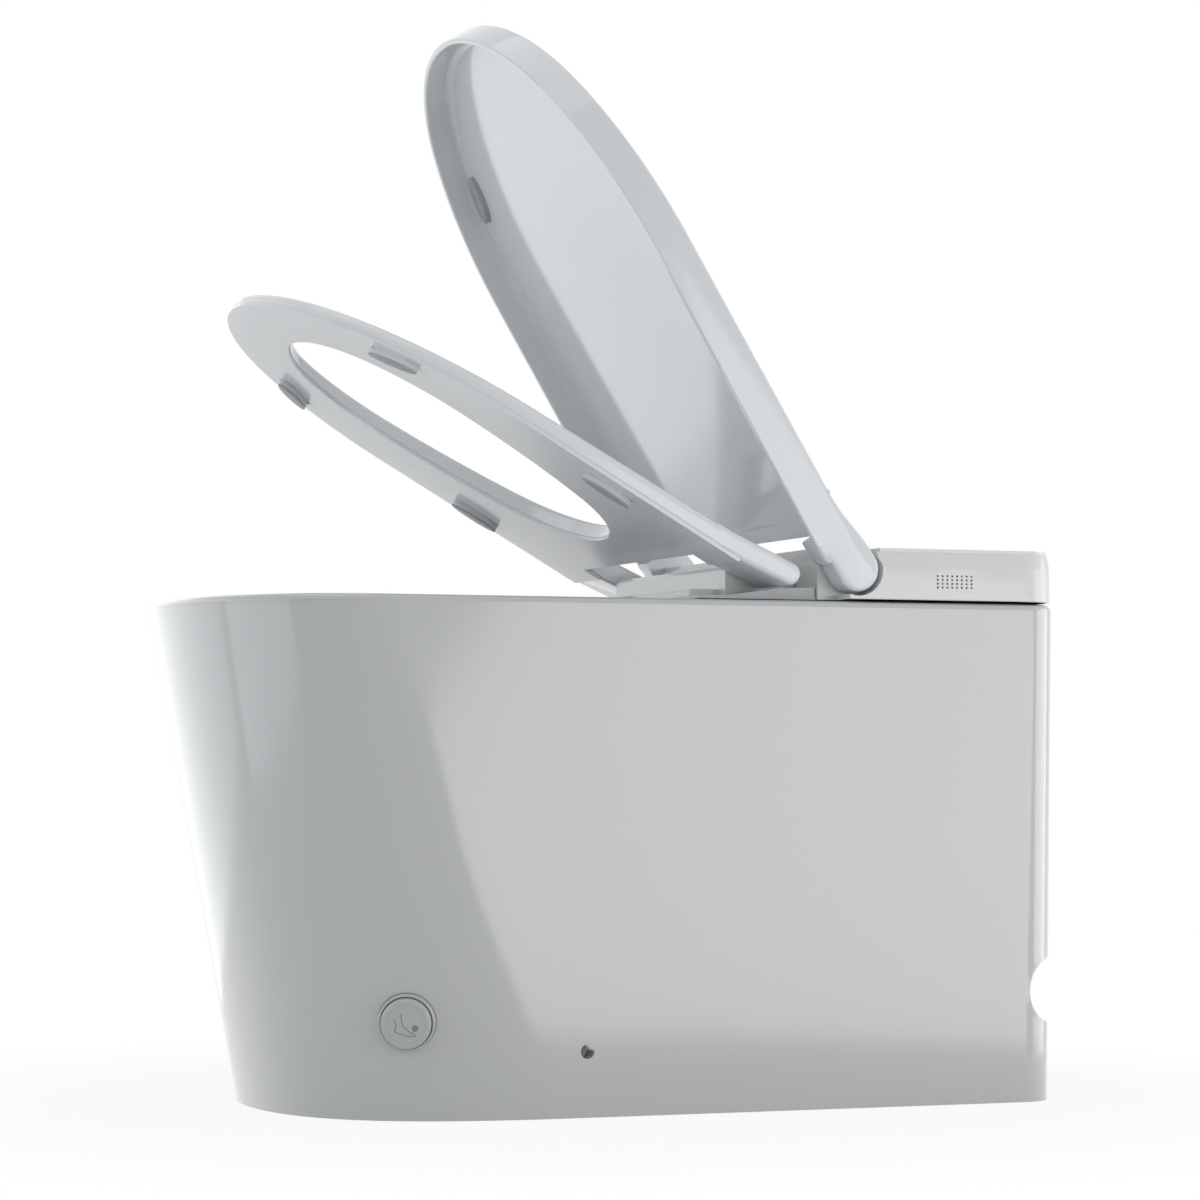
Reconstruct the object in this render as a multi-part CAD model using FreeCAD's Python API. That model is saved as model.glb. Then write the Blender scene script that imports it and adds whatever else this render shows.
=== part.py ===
import FreeCAD, Part
import math
import os

# Smart toilet with a heated seat, millimetres. +Z is up, the front of the bowl looks towards
# -Y and the wall is at +Y. The origin is on the floor, in the middle plane, at the front of
# the soft ring round the waste outlet.
# The seat and the lid are drawn closed and then turned up to the half-open rest pose.

# Ceramic body
RIM_Z = 405.0
RIM_HALF_WIDTH = 192.2
RIM_FRONT_Y = -350.0
RIM_REAR_Y = 364.0
RIM_NOSE = 128.0
RIM_FULLNESS = (0.529, 0.660)
FOOT_HALF_WIDTH = 186.0
FOOT_FRONT_Y = -273.0
FOOT_REAR_Y = 361.0
FOOT_NOSE = 210.0
FOOT_FULLNESS = (0.819, 0.580)
BODY_CORNER = 36.0
WALL = 12.0
DECK = 13.0
HOLLOW_STEPS = ((0.0, 240.0), (240.0, 120.0))

# Bowl: round ends joined by a straight middle that falls towards the well
BOWL_R = 119.0
BOWL_REAR_Y = 34.0
BOWL_STRAIGHT = 99.0
BOWL_FALL = 55.0
BOWL_WALL = 10.0
WELL_Z = 76.0

# Trapway and waste outlet, set for a 305 mm rough-in
TRAP_BORE_R = 25.0
TRAP_WALL = 8.0
TRAP_BEND = 34.5
OUTLET_Y = 57.0
OUTLET_Z = 22.0

# Bolts through the deck
BOLT_X = 150.0
BOLT_Y = 225.0

# Openings in the skirt
FIXING_Y = -54.0
FIXING_Z = 51.4
FIXING_R = 5.75
NOTCH_R = 26.7
NOTCH_Y = 358.0
NOTCH_Z = 90.0
RECESS_HALF_WIDTH = 142.0
RECESS_TOP_Z = 322.0
DECK_OPENING = (-132.0, 132.0, 160.0, 322.0)
NOZZLE_SLOT_HALF_WIDTH = 30.0

# Foot button, set square to the curved front quarter
BUTTON_AT = 0.66
BUTTON_Z = 76.4
CAP_R = 19.6
CAP_TOP = 11.0
BEZEL_R = 22.6
BEZEL_TOP = 5.5

# Seat and lid hinges, as (Y, Z), and how far each stands open at rest
SEAT_AXIS = (120.6, 426.7)
SEAT_OPEN = 29.9
LID_AXIS = (177.1, 431.0)
LID_OPEN = 59.26

# Seat ring, closed
SEAT_UNDER_Z = 411.5
SEAT_TIP_Y = -342.0
SEAT_HALF_WIDTH = 185.5
SEAT_NOSE = 210.0
SEAT_FLANK = 238.0
SEAT_TIP_Z = 422.9
SEAT_REAR_Z = 430.2
SEAT_REAR_Y = 61.0
SEAT_BEND_Y = 78.0
SEAT_EDGE = 3.5
ARM_EDGE = 3.0
SEAT_PLATE = 3.0
SEAT_SKIN = 2.6
ARM_INNER_X = 124.0
ARM_END_R = 9.0
HOLE_FRONT_Y = -285.0
HOLE_REAR_Y = 23.0
HOLE_HALF_WIDTH = 103.0
HOLE_WIDE_Y = -162.0
HOLE_FRONT_FLANK = 150.0
HOLE_REAR_FLANK = 400.0
SEAT_PIN_R = 4.0

# Lid, closed
LID_RIM_Z = 408.0
LID_TIP_Y = -348.7
LID_HALF_WIDTH = 192.4
LID_NOSE = 224.0
LID_FLANK = 262.0
LID_REAR_Y = 145.5
TRAY_REAR_Y = 138.0
LID_WALL = 4.8
LID_PANEL = 4.0
LID_TIP_Z = 436.5
LID_REAR_Z = 441.0
LID_EDGE = 3.0
LID_COVE = 5.0
EAR_INNER_X = 168.0
EAR_R = 18.0
LID_SHAFT_R = 6.0
RUNNING_FIT = 0.05

# Rear housing
HOUSING_HALF_WIDTH = 192.0
HOUSING_REAR_Y = 363.5
HOUSING_FRONT_Y = 152.0
HOUSING_NECK = 166.0
HOUSING_BASE_Z = 407.0
COVER_TOP_Z = 446.0
SHOULDER_DROP = 12.0
SHOULDER_INSET = 8.0
SHOULDER_REAR_INSET = 1.0
TOP_PLATE = 3.0
HOUSING_CORNER = 38.0
SKIN = 3.0
SCOOP_R = 21.4
PLATE_TOP_Z = 409.4

# Front block between the seat arms
BLOCK_HALF_WIDTH = 121.5
BLOCK_TOP_Z = 435.3
BLOCK_FRONT_Y = 90.0
BLOCK_SKIN = 2.0
STEP_FRONT_Y = 64.0
STEP_TOP_Z = 417.0

# Tub for the electrics, hanging through the deck
TUB = (-128.0, 128.0, 164.0, 318.0, 345.0)
TUB_WALL = 2.5

# Bidet wand, sloping down towards the bowl
WAND_TIP_Y = 45.0
WAND_TIP_Z = 386.0
WAND_SLOPE = 16.0
WAND_R = 5.0
WAND_LENGTH = 134.0

# Water supply
INLET_X = 60.0
INLET_Z = 300.0
INLET_R = 10.3
INLET_END_Y = 338.0

# Warm-air fan
FAN_X = -150.0
FAN_Y = 278.0
FAN_R = 24.0
FAN_BLADES = 12

V = FreeCAD.Vector
UP = V(0, 0, 1)


def box(x0, x1, y0, y1, z0, z1):
    """Block between two corners."""
    return Part.makeBox(x1 - x0, y1 - y0, z1 - z0, V(x0, y0, z0))


def rod(start, axis, radius, length):
    """Round bar from a point along an axis."""
    return Part.makeCylinder(radius, length, V(*start), V(*axis))


def cross_rod(x0, x1, y, z, radius):
    """Round bar along X."""
    return rod((x0, y, z), (1, 0, 0), radius, x1 - x0)


def tube(start, axis, outer, inner, length):
    """Tube from a point along an axis."""
    return rod(start, axis, outer, length).cut(rod(start, axis, inner, length))


def mirrored(shape):
    """The shape's twin on the other side of the middle plane."""
    return shape.mirror(V(0, 0, 0), V(1, 0, 0))


def both_sides(shape):
    """The shape and its twin as one group."""
    return Part.makeCompound([shape, mirrored(shape)])


def joined(shapes):
    """One solid from several that meet."""
    return shapes[0].multiFuse(shapes[1:]).removeSplitter().Solids[0]


def side_prism(points, x0, x1):
    """Polygon drawn in the YZ plane and carried along X."""
    wire = Part.makePolygon([V(x0, y, z) for y, z in points + points[:1]])
    return Part.Face(wire).extrude(V(x1 - x0, 0, 0))


def raised(edges, height):
    """Flat outline raised along Z."""
    return Part.Face(Part.Wire(edges)).extrude(V(0, 0, height))


def upright_edges(solid):
    """Straight edges that stand along Z."""
    return [e for e in solid.Edges
            if e.Curve.TypeId == "Part::GeomLine" and abs(e.tangentAt(e.FirstParameter).z) > 0.99]


def top_edges(solid, z, skip_y=1e6):
    """Edges that lie in the plane at one height, leaving out a straight rear edge."""
    return [e for e in solid.Edges if e.BoundBox.ZMin > z - 0.01 and e.BoundBox.YMin < skip_y]


def round_block(x0, x1, y0, y1, z0, z1, radius):
    """Block with rounded upright corners."""
    solid = box(x0, x1, y0, y1, z0, z1)
    return solid.makeFillet(radius, upright_edges(solid))


def quarter(half_width, front_y, depth, fullness, s):
    """Point of a quarter nose: s is 0 at the front and 1 at the straight flank."""
    a, b = fullness
    x = half_width * (3.0 * (1 - s) ** 2 * s * a + 3.0 * (1 - s) * s ** 2 + s ** 3)
    y = depth * (3.0 * (1 - s) * s ** 2 * (1 - b) + s ** 3)
    return x, front_y + y


def quarter_edge(half_width, front_y, depth, fullness, side, z):
    """Smooth quarter nose as one cubic edge, square to both axes at its ends."""
    a, b = fullness
    poles = [V(0, front_y, z), V(side * half_width * a, front_y, z),
             V(side * half_width, front_y + depth * (1 - b), z),
             V(side * half_width, front_y + depth, z)]
    if side < 0:
        poles.reverse()
    curve = Part.BezierCurve()
    curve.setPoles(poles)
    return curve.toShape()


def arc_nose(half_width, front_y, depth, flank_r, z):
    """Nose of three tangent arcs, from the -X flank round the front to the +X flank."""
    base_y = front_y + depth
    off = half_width - flank_r
    front_r = (off ** 2 + depth ** 2 - flank_r ** 2) / (2.0 * (abs(depth) - flank_r))
    centre = V(0, front_y + math.copysign(front_r, depth), z)
    flank = V(off, base_y, z)
    aim = (centre - flank) * (1.0 / (flank_r - front_r))
    meet = centre + aim * front_r
    half_way = flank + (aim + V(1, 0, 0)).normalize() * flank_r

    def left(p):
        return V(-p.x, p.y, p.z)

    return [Part.Arc(V(-half_width, base_y, z), left(half_way), left(meet)).toShape(),
            Part.Arc(left(meet), V(0, front_y, z), meet).toShape(),
            Part.Arc(meet, half_way, V(half_width, base_y, z)).toShape()]


def u_outline(half_width, front_y, depth, flank_r, rear_y, z):
    """Round nose, straight sides and a square back."""
    side_y = front_y + depth
    a = half_width
    return arc_nose(a, front_y, depth, flank_r, z) + [
        Part.makeLine(V(a, side_y, z), V(a, rear_y, z)),
        Part.makeLine(V(a, rear_y, z), V(-a, rear_y, z)),
        Part.makeLine(V(-a, rear_y, z), V(-a, side_y, z))]


def bent_path(points, bend, chords):
    """Straight runs through the points, each bend stepped round in equal chords."""
    path = [points[0]]
    for before, corner, after in zip(points, points[1:], points[2:]):
        u = (before - corner).normalize()
        w = (after - corner).normalize()
        half = 0.5 * u.getAngle(w)
        middle = corner + (u + w).normalize() * (bend / math.sin(half))
        spoke = corner + u * (bend / math.tan(half)) - middle
        turn = 180.0 - 2.0 * math.degrees(half)
        step = FreeCAD.Rotation(w.cross(u), turn / chords)
        for _ in range(chords + 1):
            path.append(middle + spoke)
            spoke = step.multVec(spoke)
    return path + [points[-1]]


def pipe(points, bend, radius, chords=2):
    """Round bar along a bent path, mitred at every chord."""
    path = bent_path(points, bend, chords)
    ways = [(b - a).normalize() for a, b in zip(path, path[1:])]
    pieces = []
    for i, way in enumerate(ways):
        start, end = path[i], path[i + 1]
        lead = radius if i > 0 else 0.0
        tail = radius if i < len(ways) - 1 else 0.0
        length = (end - start).Length + lead + tail
        bar = Part.makeCylinder(radius, length, start - way * lead, way)
        if lead:
            bar = bar.common(Part.makeCylinder(300, 600, start, way + ways[i - 1]))
        if tail:
            bar = bar.common(Part.makeCylinder(300, 600, end, -(way + ways[i + 1])))
        pieces.append(bar)
    return joined(pieces)


def opened(shape, axis, angle):
    """Turn a closed seat or lid up about its hinge."""
    turned = shape.copy()
    turned.rotate(V(0, axis[0], axis[1]), V(-1, 0, 0), angle)
    return turned


def tilted(shape, tip_y, tip_z, rear_y, rear_z):
    """Tilt a piece drawn flat so that its top rises from the tip to the rear."""
    turned = shape.copy()
    slope = math.degrees(math.atan2(rear_z - tip_z, rear_y - tip_y))
    turned.rotate(V(0, tip_y, tip_z), V(1, 0, 0), slope)
    return turned


def seat_open(shape):
    """Seat piece in its rest pose."""
    return opened(shape, SEAT_AXIS, SEAT_OPEN)


def lid_open(shape):
    """Lid piece in its rest pose."""
    return opened(shape, LID_AXIS, LID_OPEN)


# ---------------------------------------------------------------- ceramic casting

def nose_loft():
    """Leaning front of the body, straight between the foot curve and the rim curve."""
    foot = [quarter_edge(FOOT_HALF_WIDTH, FOOT_FRONT_Y, FOOT_NOSE, FOOT_FULLNESS, side, 0)
            for side in (-1, 1)]
    rim = [quarter_edge(RIM_HALF_WIDTH, RIM_FRONT_Y, RIM_NOSE, RIM_FULLNESS, side, RIM_Z)
           for side in (-1, 1)]
    foot_y, rim_y = FOOT_FRONT_Y + FOOT_NOSE, RIM_FRONT_Y + RIM_NOSE
    foot.append(Part.makeLine(V(FOOT_HALF_WIDTH, foot_y, 0), V(-FOOT_HALF_WIDTH, foot_y, 0)))
    rim.append(Part.makeLine(V(RIM_HALF_WIDTH, rim_y, RIM_Z), V(-RIM_HALF_WIDTH, rim_y, RIM_Z)))
    return Part.makeLoft([Part.Wire(foot), Part.Wire(rim)], True, True)


def rear_block():
    """Flat-sided rear of the body, with rounded upright corners."""
    side = side_prism([(FOOT_FRONT_Y + FOOT_NOSE, 0), (FOOT_REAR_Y, 0), (RIM_REAR_Y, RIM_Z),
                       (RIM_FRONT_Y + RIM_NOSE, RIM_Z)], -200, 200)
    ends = [V(-FOOT_HALF_WIDTH, -250, 0), V(FOOT_HALF_WIDTH, -250, 0),
            V(RIM_HALF_WIDTH, -250, RIM_Z), V(-RIM_HALF_WIDTH, -250, RIM_Z)]
    block = side.common(Part.Face(Part.makePolygon(ends + ends[:1])).extrude(V(0, 650, 0)))
    back = [e for e in block.Edges
            if e.BoundBox.ZLength > 100 and e.BoundBox.YMin > FOOT_REAR_Y - 10]
    return block.makeFillet(BODY_CORNER, back)


def skirt_hollow():
    """Space inside the skirt, open to the floor, stepping forward under the leaning nose."""
    steps = []
    for base_z, flank_r in HOLLOW_STEPS:
        part = base_z / RIM_Z
        front_y = FOOT_FRONT_Y + (RIM_FRONT_Y - FOOT_FRONT_Y) * part + WALL
        depth = FOOT_NOSE + (RIM_NOSE - FOOT_NOSE) * part - WALL
        outline = u_outline(FOOT_HALF_WIDTH - WALL, front_y, depth, flank_r, FOOT_REAR_Y - WALL,
                            base_z - 1.0)
        space = raised(outline, RIM_Z - DECK - base_z + 1.0)
        back = [e for e in upright_edges(space) if e.BoundBox.YMin > 300]
        steps.append(space.makeFillet(BODY_CORNER - WALL, back))
    return steps


def bowl_profile(grow, top_z):
    """Half section of the bowl as (radius, height) pairs from the well floor to the top."""
    return [(0.0, WELL_Z - grow), (38.0 + grow, WELL_Z - grow), (66.0 + grow, 103.0),
            (100.0 + grow, 200.0), (BOWL_R + grow, 325.0), (BOWL_R + grow, top_z)]


def bowl_solid(grow, top_z):
    """Bowl, or its outside when grown by the wall: two turned ends and a falling middle."""
    rear_y = BOWL_REAR_Y - BOWL_R
    front_y = rear_y - BOWL_STRAIGHT
    low = bowl_profile(grow, top_z)
    high = [(r, z + (BOWL_FALL if z < top_z else 0.0)) for r, z in low]

    def turned(profile, y):
        points = [V(r, y, z) for r, z in profile] + [V(0, y, top_z), V(0, y, profile[0][1])]
        half = Part.Face(Part.makePolygon(points))
        return half.revolve(V(0, y, 0), UP, 360)

    def section(profile, y):
        right = [V(r, y, z) for r, z in profile[1:]]
        left = [V(-r, y, z) for r, z in reversed(profile[1:])]
        return Part.makePolygon(right + left + right[:1])

    middle = Part.makeLoft([section(high, front_y), section(low, rear_y)], True, True)
    return joined([turned(low, rear_y), middle, turned(high, front_y)])


def trap_points(end_z):
    """Trapway centre line: from the well, up over the weir, down and forward to the floor."""
    route = [(-80, 100), (-12, 48), (60, 214), (138, 196), (OUTLET_Y, 60), (OUTLET_Y, end_z)]
    return [V(0, y, z) for y, z in route]


def button_frame():
    """Centre of the foot button on the curved skin, and the skin's outward direction there."""
    def skin(s, z):
        foot = quarter(FOOT_HALF_WIDTH, FOOT_FRONT_Y, FOOT_NOSE, FOOT_FULLNESS, s)
        rim = quarter(RIM_HALF_WIDTH, RIM_FRONT_Y, RIM_NOSE, RIM_FULLNESS, s)
        part = z / RIM_Z
        return V(foot[0] * (1 - part) + rim[0] * part, foot[1] * (1 - part) + rim[1] * part, z)

    along = skin(BUTTON_AT + 0.01, BUTTON_Z) - skin(BUTTON_AT - 0.01, BUTTON_Z)
    upward = skin(BUTTON_AT, BUTTON_Z + 1.0) - skin(BUTTON_AT, BUTTON_Z - 1.0)
    return skin(BUTTON_AT, BUTTON_Z), along.cross(upward).normalize()


def button_rod(start, end, radius):
    """Round bar on the button's axis, between two heights above the skin."""
    centre, out = button_frame()
    return Part.makeCylinder(radius, end - start, centre + out * start, out)


def rear_recess():
    """Arched opening in the back of the skirt for the supply pipes."""
    arch = box(-RECESS_HALF_WIDTH, RECESS_HALF_WIDTH, FOOT_REAR_Y - 40, RIM_REAR_Y + 10,
               -1.0, RECESS_TOP_Z)
    top = [e for e in arch.Edges if e.BoundBox.ZMin > RECESS_TOP_Z - 1 and e.BoundBox.YLength > 10
           and e.BoundBox.XLength < 1]
    return arch.makeFillet(45.0, top)


def bolt_hole(radius):
    """Hole for the right-hand deck bolt, through all that it clamps."""
    return rod((BOLT_X, BOLT_Y, 380), (0, 0, 1), radius, 40)


def ceramic_body():
    """One fired casting: skirt, rim, deck, bowl and trapway."""
    skin = joined([nose_loft(), rear_block()])
    casting = skin.cut(skirt_hollow()).multiFuse(
        [bowl_solid(BOWL_WALL, RIM_Z - 4.0),
         pipe(trap_points(OUTLET_Z), TRAP_BEND, TRAP_BORE_R + TRAP_WALL)])
    x0, x1, y0, y1 = DECK_OPENING
    openings = [
        bowl_solid(0.0, RIM_Z + 1.0),
        pipe(trap_points(OUTLET_Z - 1.0), TRAP_BEND, TRAP_BORE_R),
        round_block(x0, x1, y0, y1, RIM_Z - DECK - 20, RIM_Z + 1, 12.0),
        box(-NOZZLE_SLOT_HALF_WIDTH, NOZZLE_SLOT_HALF_WIDTH, 10, 165, 366, RIM_Z + 1),
        rear_recess(),
        cross_rod(-220, 220, NOTCH_Y, NOTCH_Z, NOTCH_R),
        cross_rod(-220, 220, FIXING_Y, FIXING_Z, FIXING_R),
        button_rod(-60, 15, 17.0),
        button_rod(-7, 15, BEZEL_R + 0.2),
        bolt_hole(4.6),
        mirrored(bolt_hole(4.6)),
    ]
    return casting.cut(openings).Solids[0]


def outlet_seal():
    """Soft flanged ring between the outlet horn and the floor."""
    inner, outer = TRAP_BORE_R + 4.0, 62.0
    horn = TRAP_BORE_R + TRAP_WALL
    points = [(inner, 0), (outer, 0), (outer, 12), (horn + 8, 12), (horn + 8, 30), (horn, 30),
              (horn, OUTLET_Z), (inner, OUTLET_Z)]
    wire = Part.makePolygon([V(r, OUTLET_Y, z) for r, z in points + points[:1]])
    return Part.Face(wire).revolve(V(0, OUTLET_Y, 0), UP, 360)


def floor_brackets():
    """Angle brackets on the floor that take the side fixing screws."""
    wall_x = FOOT_HALF_WIDTH - WALL - 0.4
    y = FIXING_Y
    foot = box(wall_x - 46, wall_x, y - 22, y + 22, 0, 4)
    leg = box(wall_x - 4, wall_x, y - 22, y + 22, 4, 76)
    corners = [V(wall_x - 36, y + 18, 4), V(wall_x - 4, y + 18, 4), V(wall_x - 4, y + 18, 60)]
    rib = Part.Face(Part.makePolygon(corners + corners[:1])).extrude(V(0, 4, 0))
    twin = rib.copy()
    twin.translate(V(0, -40, 0))
    slot = box(wall_x - 32, wall_x - 14, y - 5, y + 5, -1, 5)
    screw = cross_rod(wall_x - 10, wall_x + 5, y, FIXING_Z, FIXING_R)
    return both_sides(joined([foot, leg, rib, twin]).cut([slot, screw]))


# ---------------------------------------------------------------- foot button

def outer_rim(solid, radius, height):
    """Circular edges of a given radius that lie above a height on the button's axis."""
    centre, out = button_frame()
    return [e for e in solid.Edges
            if e.Curve.TypeId == "Part::GeomCircle" and abs(e.Curve.Radius - radius) < 0.01
            and (e.CenterOfMass - centre).dot(out) > height]


def foot_button_bezel():
    """Fixed ring and sleeve, let into the casting."""
    body = joined([button_rod(-6.5, BEZEL_TOP, BEZEL_R), button_rod(-26.0, -6.0, 15.0)])
    bezel = body.cut([button_rod(-2.0, BEZEL_TOP + 1, CAP_R + 0.5), button_rod(-30.0, 0.0, 8.5)])
    return bezel.makeChamfer(1.5, outer_rim(bezel, BEZEL_R, 4.0))


def foot_button_cap():
    """Round cap on its guide stem."""
    cap = joined([button_rod(2.5, CAP_TOP, CAP_R), button_rod(-13.0, 3.0, 8.0)])
    return cap.makeChamfer(1.4, outer_rim(cap, CAP_R, 5.0))


def foot_switch():
    """Sealed switch behind the button, with its plunger."""
    return joined([button_rod(-40.0, -26.0, 15.0), button_rod(-26.0, -17.6, 4.0)])


# ---------------------------------------------------------------- rear unit

def slide_floor(y):
    """Height of the sloping chute floor under the wand's slide."""
    slope = math.radians(WAND_SLOPE)
    return WAND_TIP_Z + (y - WAND_TIP_Y) * math.tan(slope) - 10.5 / math.cos(slope)


def unit_base():
    """Moulded base: deck plate, side wedges, nozzle chute and the tub through the deck."""
    x0, x1, y0, y1, floor_z = TUB
    base_z = HOUSING_BASE_Z
    wide = HOUSING_HALF_WIDTH - SKIN - 0.4
    neck = HOUSING_NECK - SKIN
    rear = box(-wide, wide, 160, HOUSING_REAR_Y - SKIN - 0.4, base_z, PLATE_TOP_Z)
    corners = [e for e in upright_edges(rear) if e.BoundBox.YMin > 300]
    rear = rear.makeFillet(HOUSING_CORNER - SKIN - 0.4, corners)
    front = box(-neck, neck, 49, 190, base_z, PLATE_TOP_Z)
    tongue = box(-28, 28, 38, 60, base_z - 4, PLATE_TOP_Z)
    wedge = side_prism([(49, base_z), (49, 409), (SEAT_BEND_Y, 410), (118, 415.7), (151, 417),
                        (151, base_z)], ARM_INNER_X, neck)
    foot = box(146, 162, 117, 125, 413, 416.9)
    tub = box(x0, x1, y0, y1, floor_z, base_z + 1)
    chute = side_prism([(38, 370), (170, 406), (170, base_z + 1), (38, base_z + 1)], -28, 28)
    whole = joined([rear, front, tongue, wedge, mirrored(wedge), foot, mirrored(foot), tub, chute])
    t = TUB_WALL
    tub_space = box(x0 + t, x1 - t, y0 + t, y1 - t, floor_z + t, 420)
    chute_space = side_prism([(30, slide_floor(30)), (175, slide_floor(175)), (175, 425), (62, 425),
                              (62, 405), (30, 405)], -25, 25)
    ear_wall = ear_pocket(SCOOP_R + SKIN, 167.0 + SKIN, neck)
    cover_wall = box(112, neck, HOUSING_FRONT_Y, HOUSING_FRONT_Y + SKIN, 400, 420)
    shell = whole.cut([tub_space, chute_space, ear_wall, mirrored(ear_wall), cover_wall,
                       mirrored(cover_wall), bolt_hole(4.3), mirrored(bolt_hole(4.3)),
                       rod((-60, 296, 330), (0, 0, 1), 6.1, 30)])
    posts = [box(x - 4, x + 4, y - 4, y + 4, floor_z + 1, 412) for x in (-34, 104) for y in (236, 308)]
    return joined([shell] + posts)


def deck_gasket():
    """Soft strip between the moulded base and the deck."""
    z0, z1 = RIM_Z, HOUSING_BASE_Z
    x0, x1, y0, y1 = DECK_OPENING
    sheet = box(-162, 162, 54, 336, z0, z1)
    return sheet.cut([box(x0 - 4, x1 + 4, y0 - 4, y1 + 4, z0 - 1, z1 + 1),
                      box(-118, 118, 50, 170, z0 - 1, z1 + 1), bolt_hole(4.6),
                      mirrored(bolt_hole(4.6))])


def hexagon(x, y, z, radius, height):
    """Six-sided prism standing on a level, as nuts and bolt heads have."""
    corners = [V(x + radius * math.cos(math.radians(a)), y + radius * math.sin(math.radians(a)), z)
               for a in range(0, 360, 60)]
    return Part.Face(Part.makePolygon(corners + corners[:1])).extrude(V(0, 0, height))


def unit_bolts():
    """Bolts that hold the base to the deck."""
    return both_sides(joined([rod((BOLT_X, BOLT_Y, 380), (0, 0, 1), 4.0, PLATE_TOP_Z - 380),
                              hexagon(BOLT_X, BOLT_Y, PLATE_TOP_Z, 7.5, 4.0)]))


def unit_nuts():
    """Wing nuts under the deck."""
    z = RIM_Z - DECK
    nut = joined([hexagon(BOLT_X, BOLT_Y, z - 9, 9.0, 9.0),
                  box(BOLT_X - 17, BOLT_X + 17, BOLT_Y - 1.5, BOLT_Y + 1.5, z - 9, z - 2)])
    return both_sides(nut.cut(rod((BOLT_X, BOLT_Y, z - 10), (0, 0, 1), 4.0, 11)))


def housing_plan(half, front, rear, corner, z):
    """Housing outline: square in front, with two round corners at the back."""
    middle = rear - corner
    across = half - corner
    lean = corner * math.sqrt(0.5)
    points = [V(-half, front, z), V(half, front, z), V(half, middle, z), V(across, rear, z),
              V(-across, rear, z), V(-half, middle, z)]
    return Part.Wire([
        Part.makeLine(points[0], points[1]), Part.makeLine(points[1], points[2]),
        Part.Arc(points[2], V(across + lean, middle + lean, z), points[3]).toShape(),
        Part.makeLine(points[3], points[4]),
        Part.Arc(points[4], V(-across - lean, middle + lean, z), points[5]).toShape(),
        Part.makeLine(points[5], points[0])])


def housing_block(inset):
    """Rear housing with sloped side shoulders that die out towards the back."""
    half = HOUSING_HALF_WIDTH - inset
    rear = HOUSING_REAR_Y - inset
    front = HOUSING_FRONT_Y + inset
    corner = HOUSING_CORNER - inset
    z0, z1 = HOUSING_BASE_Z - (1.0 if inset else 0.0), COVER_TOP_Z - inset
    waist = housing_plan(half, front, rear, corner, z1 - SHOULDER_DROP)
    crown = housing_plan(half - SHOULDER_INSET, front, rear - SHOULDER_REAR_INSET,
                         corner - SHOULDER_INSET, z1)
    lower = Part.Face(housing_plan(half, front, rear, corner, z0))
    return joined([lower.extrude(V(0, 0, z1 - SHOULDER_DROP - z0)),
                   Part.makeLoft([waist, crown], True, True)])


def ear_pocket(radius, front_y, inner_x):
    """Room beside the neck for a lid ear: a round scoop and all in front of it."""
    y, z = LID_AXIS
    scoop = cross_rod(inner_x, 200, y, z, radius)
    above = box(inner_x, 200, y - radius, y, z, 460)
    behind = box(inner_x, 200, y - 1, y + radius - 2.2, z + 10, 460)
    before = box(inner_x, 200, 140, front_y, 400, 460)
    return scoop.multiFuse([above, behind, before])


def rear_cover():
    """Outer shell of the rear housing, with scoops for the lid's ears and the air grille."""
    outer = housing_block(0.0)
    pocket = ear_pocket(SCOOP_R, 167.0, HOUSING_NECK)
    outer = outer.cut([pocket, mirrored(pocket)])
    wall = ear_pocket(SCOOP_R + SKIN, 167.0 + SKIN, HOUSING_NECK - SKIN)
    inner = housing_block(SKIN).cut([wall, mirrored(wall)])
    y, z = LID_AXIS
    cover = outer.cut([inner, cross_rod(-180, 180, y, z, 7.0),
                       box(-112, 112, HOUSING_FRONT_Y - 1, HOUSING_FRONT_Y + SKIN + 1, 400, 431)])
    return cover.cut(grille_holes()).Solids[0]


def grille_holes():
    """Eight by four small six-sided holes in the side wall."""
    holes = []
    for column in range(8):
        for row in range(4):
            y = 247.0 + column * 4.33
            z = 417.4 + row * 3.07
            corners = [(y + math.cos(math.radians(a)), z + math.sin(math.radians(a)))
                       for a in range(0, 360, 60)]
            holes.append(side_prism(corners, 180, 196))
    return holes


def rear_top_plate():
    """Flat plate let onto the top of the rear housing."""
    half = HOUSING_HALF_WIDTH - SHOULDER_INSET - 1.0
    neck = HOUSING_NECK - 0.5
    z0, z1 = COVER_TOP_Z, COVER_TOP_Z + TOP_PLATE
    broad = Part.Face(housing_plan(half, 199.5, HOUSING_REAR_Y - SHOULDER_REAR_INSET - 1.0,
                                   HOUSING_CORNER - SHOULDER_INSET - 1.0, z0))
    return joined([broad.extrude(V(0, 0, z1 - z0)), box(-neck, neck, 153.5, 200, z0, z1)])


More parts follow.
